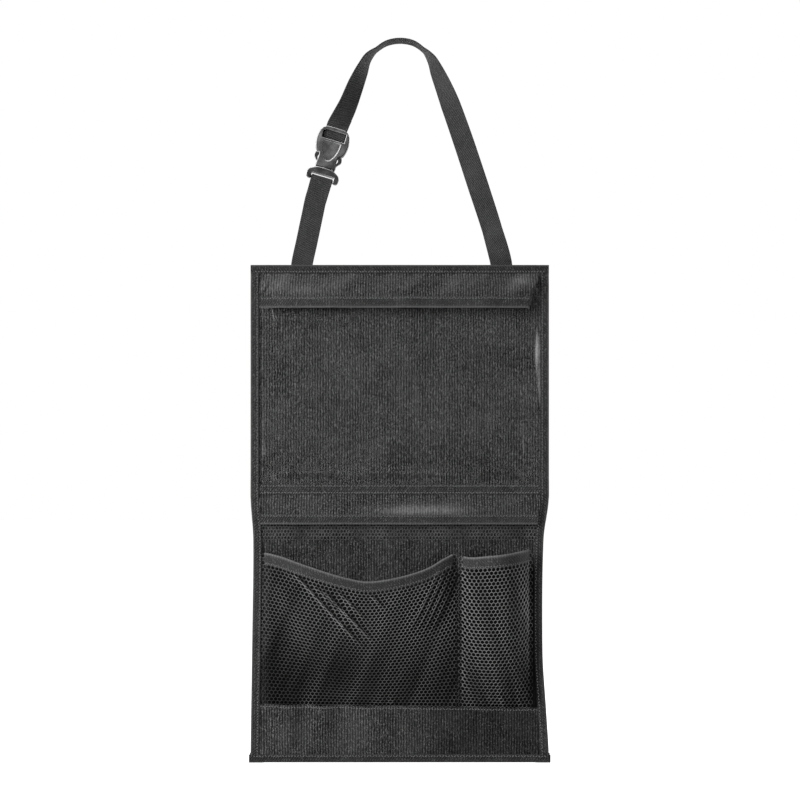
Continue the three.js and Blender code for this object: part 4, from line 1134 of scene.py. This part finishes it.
def widePocketSurface(u, w):
    side = pocket["wideSide"]
    foot = pocketFootZ(u)
    z = np.where(w < side, mix(widePocketTop(u), foot, w / side), foot - (w - side))
    sideShift = leftSeam(z) - leftStart
    x = u + sideShift * ((dividerX - u) / (dividerX - widePocketFrom))
    inside = ease(14, 22, w) * (1 - ease(side - 16, side - 4, w)) * np.clip((dividerX - 8 - x) / 10, 0, 1)
    shiftX, shiftZ = np.zeros_like(x + z), np.zeros_like(x + z)
    for off, reach, _, wide, (acrossX, acrossZ) in pullShares(x, z):
        drawn = -0.55 * off * hump(off, 0, wide * 1.7) * reach * inside
        shiftX += drawn * acrossX
        shiftZ += drawn * acrossZ
    return at(x + shiftX, frontY - netLift - widePocketDepthAt(x, z), z + shiftZ)


def narrowPocketDepthAt(x, z):
    share = (x - dividerX - pocket["dividerSeam"]) / (pocket["narrowWidth"] - 2 * pocket["dividerSeam"])
    rise = (z - pocketFootZ(x)) / (narrowPocketTop(x) - pocketFootZ(x))
    safe = np.clip(share, 0, 1)
    low = np.clip(rise * 1.15, 0, 1)
    across = np.sqrt(np.maximum(0, 1 - (2 * safe - 1) ** 2)) * 0.6 + 0.4 * np.sin(math.pi * safe)
    up = np.sin(math.pi / 2 * low) ** 0.8
    outside = (share <= 0) | (share >= 1) | (rise <= 0)
    above = z - pocketFootZ(x)
    pleats = sum(hump(x + 0.3 * above, place, 2.2) for place in (68, 84, 104, 121, 131))
    bunched = 1.8 * pleats * ease(0, 5, above) * (1 - ease(8, 22, above)) * np.minimum(1, (1 - safe) * 10)
    return np.where(outside, 0, pocket["narrowDepth"] * across * up + bunched)


# Painted shade: darker towards the foot and near the right side, uneven across the netting
def narrowPocketShade(x, y, z):
    low = 0.5 * (1 - ease(-185, -120, z))
    return 0.1 + low + 0.25 * waver(x + z * 0.3, 29, 2.0) + 0.3 * ease(118, 132, x)


def narrowPocketSurface(x, w):
    height = pocket["narrowHeight"]
    foot = pocketFootZ(x)
    z = np.where(w < height, mix(narrowPocketTop(x), foot, w / height), foot - (w - height))
    return at(x, frontY - netLift - narrowPocketDepthAt(x, z), z)


# Painted shade on the front of the panel inside the pockets, from a little below their tops down; it fades
# out towards the left seam and ends at the right seam
def panelShade(x, y, z):
    sides = np.where(x > 0, ease(-4, 0, rightSeam(z) - x), ease(-1, 12, x - leftSeam(z)))
    rim = np.where(x < dividerX, widePocketTop(x), narrowPocketTop(x))
    return (1 - ease(rim - 20, rim - 2, z)) * sides * (y < -1)


paint(backCloth, "paintedShade", panelShade)
pocketKnit = {"pitch": 4.05, "holeShare": 0.865, "yarn": 1.3, "hems": (12, 9)}
wideWidth = dividerX - gap / 2 - widePocketFrom
wideDepth = pocket["wideSide"] + pocket["hem"]
wideNet = netObject(
    "widePocketNet", widePocketSurface, wideWidth, wideDepth, widePocketFrom, pocketKnit, widePocketShade)
keep(wideNet, ["wide_pocket_net"])
wideTapeFrom = widePocketFrom + tuck + easeOut + 2.4
wideTapePlaces = np.linspace(wideTapeFrom, dividerX - pocket["dividerSeam"] - 2.4, 170)
wideTape = foldedBand(
    "widePocketTape", widePocketSurface, wideTapePlaces, layers["net"] / 2, pocket["tape"],
    finish["satin"], pucker=0.3)
keep(wideTape, ["wide_pocket_tape"])

narrowWidth = pocket["narrowWidth"] - gap / 2
narrowDepth = pocket["narrowHeight"] + pocket["hem"]
narrowNet = netObject(
    "narrowPocketNet", narrowPocketSurface, narrowWidth, narrowDepth, dividerX + gap / 2, pocketKnit,
    narrowPocketShade)
keep(narrowNet, ["narrow_pocket_net"])
narrowTapePlaces = np.linspace(dividerX + 5.2, dividerX + pocket["narrowWidth"] - 5.2, 90)
narrowTape = foldedBand(
    "narrowPocketTape", narrowPocketSurface, narrowTapePlaces, layers["net"] / 2, pocket["tape"],
    finish["satin"])
keep(narrowTape, ["narrow_pocket_tape"])
netFront = layers["net"] / 2 + gap + layers["tape"]
for surface, places in ((widePocketSurface, wideTapePlaces), (narrowPocketSurface, narrowTapePlaces)):
    sew(surface, places[2:-2], pocket["tape"] - stitchInset, netFront)

# Strip of cloth over the feet of the nets
baseTuckZ = bottomZ + panel["bindingWidth"] - tuck
baseSway = through([
    (-150, 0.2), (-131, 0.02), (-109, 1), (-95, 0.12), (-80, 0.95), (-60, 0.08), (-34, 0.8),
    (-3, 0.05), (28, 0.45), (66, 0.1), (104, 0.42), (140, 0.1),
])


def baseSurface(u, w):
    across = mix(-halfWidth, halfWidth, u / panel["width"])
    top = baseTopZ(across)
    z = mix(top, baseTuckZ, w / baseLeft)
    x = tuckedX(u, z)
    sewn = ease(top - pocket["hem"] - 8, top - pocket["hem"] - 1, z)
    ends = np.minimum(ease(0, 14, x - leftSeam(z) - easeOut), ease(0, 14, rightSeam(z) - x - easeOut))
    low = bottomZ + panel["bindingWidth"] + easeOut
    leant = x + mix(0.1, -0.34, ease(-90, -40, x)) * (baseTopZ(x) - z)
    wave = (4.2 * baseSway(leant) + 0.25 * (1 + np.sin(x / 4.3))) * ends * ease(low, low + 10, z)
    return at(x, frontY - mix(clothLift, netStack + layers["cloth"] / 2, sewn) - wave, z)


baseWs = np.linspace(0, baseLeft, 60)
baseStrip = sheetObject("pocketBase", baseSurface, spread(220), baseWs, layers["cloth"], finish["cloth"])
keep(baseStrip, ["pocket_base"])
# Painted shadow of the narrow pocket, growing towards the right of the strip
paint(baseStrip, "paintedShade", lambda x, y, z: 0.5 * ease(-20, 66, x))
sew(baseSurface, spread(220, 6), 2.2, layers["cloth"] / 2)
print("pockets made")

# Strap and buckle
strap = {
    "width": 21.7, "leftX": -98.7, "rightX": 102.6, "tail": 42.0, "top": 476.4,
    "archHalf": 24.0, "archRise": 9.5, "archLean": 0.06, "adjusterTail": 14.6,
}
buckle = {"x": -79.3, "z": 334.65, "tilt": math.radians(16.5), "length": 55.4}
strapY = gap + layers["tape"] + gap + layers["webbing"] / 2
tailY = gap + layers["webbing"] / 2
barLoop = 1.35 + gap + layers["webbing"] / 2


def inBuckle(alongAxis, y, across=0.0):
    cosTilt = math.cos(buckle["tilt"])
    sinTilt = math.sin(buckle["tilt"])
    x = buckle["x"] + across * cosTilt + alongAxis * sinTilt
    return (x, strapY + y, buckle["z"] - across * sinTilt + alongAxis * cosTilt)


buckleLeft = (-math.cos(buckle["tilt"]), 0.0, math.sin(buckle["tilt"]))


def smoothStations(stations, count):
    # Centripetal run through the given points, each with the way that the webbing's width points
    points = np.array([s[0] for s in stations], float)
    widths = np.array([s[1] for s in stations], float)
    last = len(points) - 1
    padded = np.vstack([2 * points[0] - points[1], points, 2 * points[-1] - points[-2]])
    fine = np.linspace(0, last - 1e-9, 60 * last)
    whole = np.floor(fine).astype(int)
    t = (fine - whole)[:, None]
    near = [padded[whole + k] for k in range(4)]
    steps = [np.linalg.norm(b - a, axis=1, keepdims=True) for a, b in zip(near, near[1:])]
    p0, p1, p2, p3 = near
    d0, d1, d2 = (np.maximum(np.sqrt(step), 1e-4) for step in steps)
    t1 = ((p1 - p0) / d0 - (p2 - p0) / (d0 + d1) + (p2 - p1) / d1) * d1
    t2 = ((p2 - p1) / d1 - (p3 - p1) / (d1 + d2) + (p3 - p2) / d2) * d1
    run = p1 + t1 * t + (-3 * p1 + 3 * p2 - 2 * t1 - t2) * t ** 2 + (2 * p1 - 2 * p2 + t1 + t2) * t ** 3
    wide = mix(widths[whole], widths[np.minimum(whole + 1, last)], t)
    length = lengthAlong(run)
    even = np.linspace(0, length[-1], count + 1)
    point = np.stack([np.interp(even, length, run[:, k]) for k in range(3)], 1)
    width = np.stack([np.interp(even, length, wide[:, k]) for k in range(3)], 1)
    return point, width


def webbingObject(name, point, width):
    run = np.gradient(point, axis=0)
    run /= np.linalg.norm(run, axis=1, keepdims=True)
    across = width - run * np.sum(width * run, axis=1, keepdims=True)
    across /= np.linalg.norm(across, axis=1, keepdims=True)
    normal = np.cross(run, across)
    half = strap["width"] / 2
    thick = layers["webbing"] / 2
    # Both edges stand a little proud of the middle
    edge = [(0.0, 0.0), (0.12, 0.42), (0.5, thick), (1.3, thick), (1.9, thick - 0.12)]
    profile = [(inset - half, height) for inset, height in edge]
    profile += [(x, thick - 0.1) for x in np.linspace(-half + 3.5, half - 3.5, 7)]
    profile += [(half - inset, height) for inset, height in edge[::-1]]
    profile += [(x, -h) for x, h in profile[-2:0:-1]]
    profile = np.array(profile)
    rings = point[:, None] + across[:, None] * profile[None, :, :1] + normal[:, None] * profile[None, :, 1:]
    length = lengthAlong(point)
    uv = np.stack(np.broadcast_arrays(length[:, None], profile[None, :, 0]), -1)
    return sweptObject(name, rings, uv.astype(float), finish["webbing"]), length[-1]


def tailPlaces(x):
    # From the loose end behind the panel up to its top edge
    left = (-1.0, 0.0, 0.0)
    return [
        ((x, tailY, topZ - strap["tail"]), left),
        ((x, tailY, topZ - strap["tail"] * 0.6), left),
        ((x, tailY, bindingEndZ - 7), left),
        ((x, strapY, bindingEndZ + 1), left),
        ((x, strapY, topZ), left),
    ]


def joined(*runs):
    # Runs end to end, each point where two meet kept once
    points = np.vstack([run[0] if i == 0 else run[0][1:] for i, run in enumerate(runs)])
    widths = np.vstack([run[1] if i == 0 else run[1][1:] for i, run in enumerate(runs)])
    return points, widths


def turnAbout(alongAt, y, radius, start, end, sign):
    # Webbing laid round a bar of the buckle
    points = []
    for angle in np.radians(np.linspace(start, end, 15)):
        points.append(inBuckle(alongAt + sign * radius * math.sin(angle), y - radius * math.cos(angle)))
    return np.array(points), np.repeat(np.array([buckleLeft]), len(points), 0)


def shortStrap():
    barAt = 2.2
    barY = 0.4
    doubled = layers["webbing"] + gap
    dx = buckle["x"] - strap["leftX"]
    dz = buckle["z"] - topZ
    lower = smoothStations([
        *tailPlaces(strap["leftX"]),
        ((strap["leftX"] + dx * 0.26, strapY, topZ + dz * 0.286), (-0.98, 0, 0.2)),
        ((strap["leftX"] + dx * 0.576, strapY, topZ + dz * 0.632), (-0.97, 0, 0.23)),
        (inBuckle(-20, 0), buckleLeft),
        (inBuckle(-10, -0.4), buckleLeft),
        (inBuckle(barAt - 4, barY - barLoop + 0.1), buckleLeft),
        (inBuckle(barAt, barY - barLoop), buckleLeft),
    ], 90)
    turn = turnAbout(barAt, barY, barLoop, 0, 180, 1)
    end = smoothStations([
        (inBuckle(barAt - 1, barY + barLoop), buckleLeft),
        (inBuckle(barAt - 3, barY + barLoop - 0.2), buckleLeft),
        (inBuckle(-8, doubled + 0.2), buckleLeft),
        (inBuckle(-14, doubled), buckleLeft),
        (inBuckle(-20, doubled), buckleLeft),
    ], 18)
    return joined(lower, turn, end)


def longStrap():
    firstBar = 45.8
    secondBar = 48.6
    barY = 1.2
    turnRadius = 1.4 + gap + layers["webbing"] / 2
    behind = layers["webbing"] + gap * 2
    tail = smoothStations([
        (inBuckle(buckle["length"] + strap["adjusterTail"], behind, 2.1), (-0.81, -0.45, 0.315)),
        (inBuckle(buckle["length"] + strap["adjusterTail"] / 2, behind, 0.8), (-0.875, -0.345, 0.305)),
        (inBuckle(buckle["length"] + 1.6, behind + 0.1), buckleLeft),
        (inBuckle(52, behind + 0.9), buckleLeft),
        (inBuckle(firstBar + 1.4, barY + turnRadius), buckleLeft),
        (inBuckle(firstBar, barY + turnRadius), buckleLeft),
    ], 26)
    turn = turnAbout(firstBar, barY, turnRadius, 180, 0, -1)
    front = (0.0, -1.0, -strap["archLean"])
    archEnd = strap["top"] - strap["archRise"]
    arch = strap["archHalf"]
    right = strap["rightX"]
    shoulder = strap["top"] - strap["archRise"] * 0.26
    top = np.array(inBuckle(buckle["length"] + 0.6, 0))
    # Shares of the way across and up, then the way that the webbing's width points
    leftLeg = [
        (0.034, 0.045, -0.9, -0.3, 0.3),
        (0.275, 0.288, -0.72, -0.6, 0.33),
        (0.487, 0.557, -0.57, -0.74, 0.34),
        (0.659, 0.756, -0.39, -0.88, 0.25),
        (0.792, 0.897, -0.18, -0.97, 0.15),
    ]
    rightLeg = [
        (0.103, 0.046, 0.28, -0.95, 0.1),
        (0.165, 0.095, 0.49, -0.86, 0.15),
        (0.254, 0.169, 0.65, -0.72, 0.24),
        (0.345, 0.253, 0.78, -0.54, 0.31),
        (0.503, 0.415, 0.85, -0.43, 0.3),
        (0.698, 0.629, 0.88, -0.37, 0.3),
        (0.883, 0.838, 0.85, -0.45, 0.26),
    ]
    loop = smoothStations([
        (inBuckle(firstBar, barY - turnRadius), buckleLeft),
        (inBuckle(secondBar + 0.3, barY - turnRadius), buckleLeft),
        (inBuckle(53, -0.1), buckleLeft),
        (inBuckle(56, 0), buckleLeft),
        *[((mix(top[0], -arch, x), strapY, mix(top[2], archEnd, z)), way) for x, z, *way in leftLeg],
        ((-arch, strapY, archEnd), front),
        ((-arch * 0.55, strapY, shoulder), front),
        ((0.5, strapY, strap["top"]), front),
        ((arch * 0.58, strapY, shoulder), front),
        ((arch, strapY, archEnd), front),
        *[((mix(arch, right, x), strapY, mix(archEnd, topZ, z)), way) for x, z, *way in rightLeg],
        *[(point, (1.0, 0.0, 0.0)) for point, _ in tailPlaces(right)[::-1]],
    ], 300)
    return joined(tail, turn, loop)


shortWebbing, shortLength = webbingObject("shortStrap", *shortStrap())
keep(shortWebbing, ["strap_short"])
longWebbing, longLength = webbingObject("longStrap", *longStrap())
keep(longWebbing, ["strap_long"])
print("straps made", round(shortLength), round(longLength))


def softened(node, name, plastic):
    # A moulded part with its sharp corners eased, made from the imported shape
    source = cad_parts[node]
    work = bmesh.new()
    work.from_mesh(source.data)
    work.transform(source.matrix_world)
    bmesh.ops.remove_doubles(work, verts=work.verts, dist=0.000002)
    bmesh.ops.dissolve_limit(work, angle_limit=0.02, verts=work.verts, edges=work.edges)
    mesh = bpy.data.meshes.new(name)
    work.to_mesh(mesh)
    work.free()
    mesh.materials.append(finish[plastic])
    mesh.materials.append(finish["plasticEdgeHighlight"])
    base = placed(name + "Base", mesh)
    bevel = base.modifiers.new("ease", "BEVEL")
    bevel.width = 0.0005
    bevel.use_clamp_overlap = False
    bevel.segments = 2
    # The eased corners take the edge material, painted with a highlight where they face the key light
    bevel.material = 1
    bevel.limit_method = "ANGLE"
    bevel.angle_limit = math.radians(35)
    eased = settled(base, name)
    eased.shade_smooth()
    eased.set_sharp_from_angle(angle=math.radians(38))
    keep(placed(name, eased), [node])


softened("buckle_plug", "bucklePlug", "plugPlastic")
softened("buckle_socket", "buckleSocket", "plastic")

for tailX in (strap["leftX"], strap["rightX"]):
    # Boxed stitching through each sewn end, seen from behind
    low, high = topZ - strap["tail"] + 3, bindingEndZ - 10
    corners = [(-8, low), (8, low), (8, high), (-8, high), (-8, low), (8, high), (-8, high), (8, low)]
    steps = np.linspace(0, len(corners) - 1, 180)
    across = tailX + np.interp(steps, range(len(corners)), [corner[0] for corner in corners])
    height = np.interp(steps, range(len(corners)), [corner[1] for corner in corners])
    line = at(across, tailY + layers["webbing"] / 2 - 0.02, height)
    seamLines.append((line, np.tile((0.0, 1.0, 0.0), (len(line), 1))))

stitches("seamStitches", seamLines, spacing=2.9, length=2.5, width=0.75, slant=0.55)
print("stitches made")


# Room, lights and camera
def seenShare(tree):
    # 1 where the room itself is seen, 0 where it only lights the object
    seen = put(tree, "ShaderNodeLightPath").outputs
    straight = calc(tree, "MAXIMUM", seen["Is Camera Ray"], seen["Is Transmission Ray"])
    return calc(tree, "MAXIMUM", straight, seen["Is Glossy Ray"])


floorMesh = bpy.data.meshes.new("floor")
floorCorners = [(x * 6, y * 6, -0.62) for x, y in ((-1, -1), (1, -1), (1, 1), (-1, 1))]
floorMesh.from_pydata(floorCorners, [], [(0, 1, 2, 3)])
floor = placed("floor", floorMesh)
floorMaterial, tree, shader = newMaterial(
    "paleFloor", Roughness=0.9, Base_Color=(0.8, 0.8, 0.8, 1), Emission_Color=(1, 1, 1, 1))
tree.links.new(calc(tree, "MULTIPLY", seenShare(tree), 0.9), shader.inputs["Emission Strength"])
floorMesh.materials.append(floorMaterial)
floor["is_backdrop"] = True

world = bpy.data.worlds.new("studio")
bpy.context.scene.world = world
world.use_nodes = True
tree = world.node_tree
tree.nodes.clear()
soft = out(tree, "ShaderNodeBackground", {0: (0.135, 0.135, 0.138, 1), 1: 1.0})
white = out(tree, "ShaderNodeBackground", {0: (1, 1, 1, 1), 1: 1.0})
shown = out(tree, "ShaderNodeMixShader", {0: seenShare(tree), 1: soft, 2: white})
put(tree, "ShaderNodeOutputWorld", {0: shown})


def softBox(name, place, aim, size, power):
    data = bpy.data.lights.new(name, "AREA")
    data.shape = "RECTANGLE"
    data.size, data.size_y = size
    data.energy = power
    lamp = placed(name, data)
    lamp.location = place
    way = np.array(aim) - np.array(place)
    lamp.rotation_euler = Vector(way).to_track_quat("-Z", "Y").to_euler()


softBox("keyBox", (-1.3, -0.98, 0.74), (0, 0, 0.05), (0.6, 0.8), 25)
softBox("fillBox", (1.9, -1.8, 0.3), (0, 0, 0), (1.0, 1.4), 4)
softBox("backBox", (1.5, 1.7, 0.9), (0, 0, 0.1), (0.9, 1.2), 30)

photo = {
    "pixels": 800, "perPixel": 1.005, "centreX": 0.25, "centreZ": 114.2, "distance": 1200.0, "sensor": 36,
}
camera = bpy.data.cameras.new("camera")
camera.sensor_width = photo["sensor"]
camera.lens = photo["sensor"] * photo["distance"] / (photo["pixels"] * photo["perPixel"])
eye = placed("camera", camera)
eye.location = (photo["centreX"] * mm, (frontY - photo["distance"]) * mm, photo["centreZ"] * mm)
eye.rotation_euler = (math.pi / 2, 0, 0)
bpy.context.scene.camera = eye
bpy.context.scene.view_settings.view_transform = "Standard"

low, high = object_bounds()
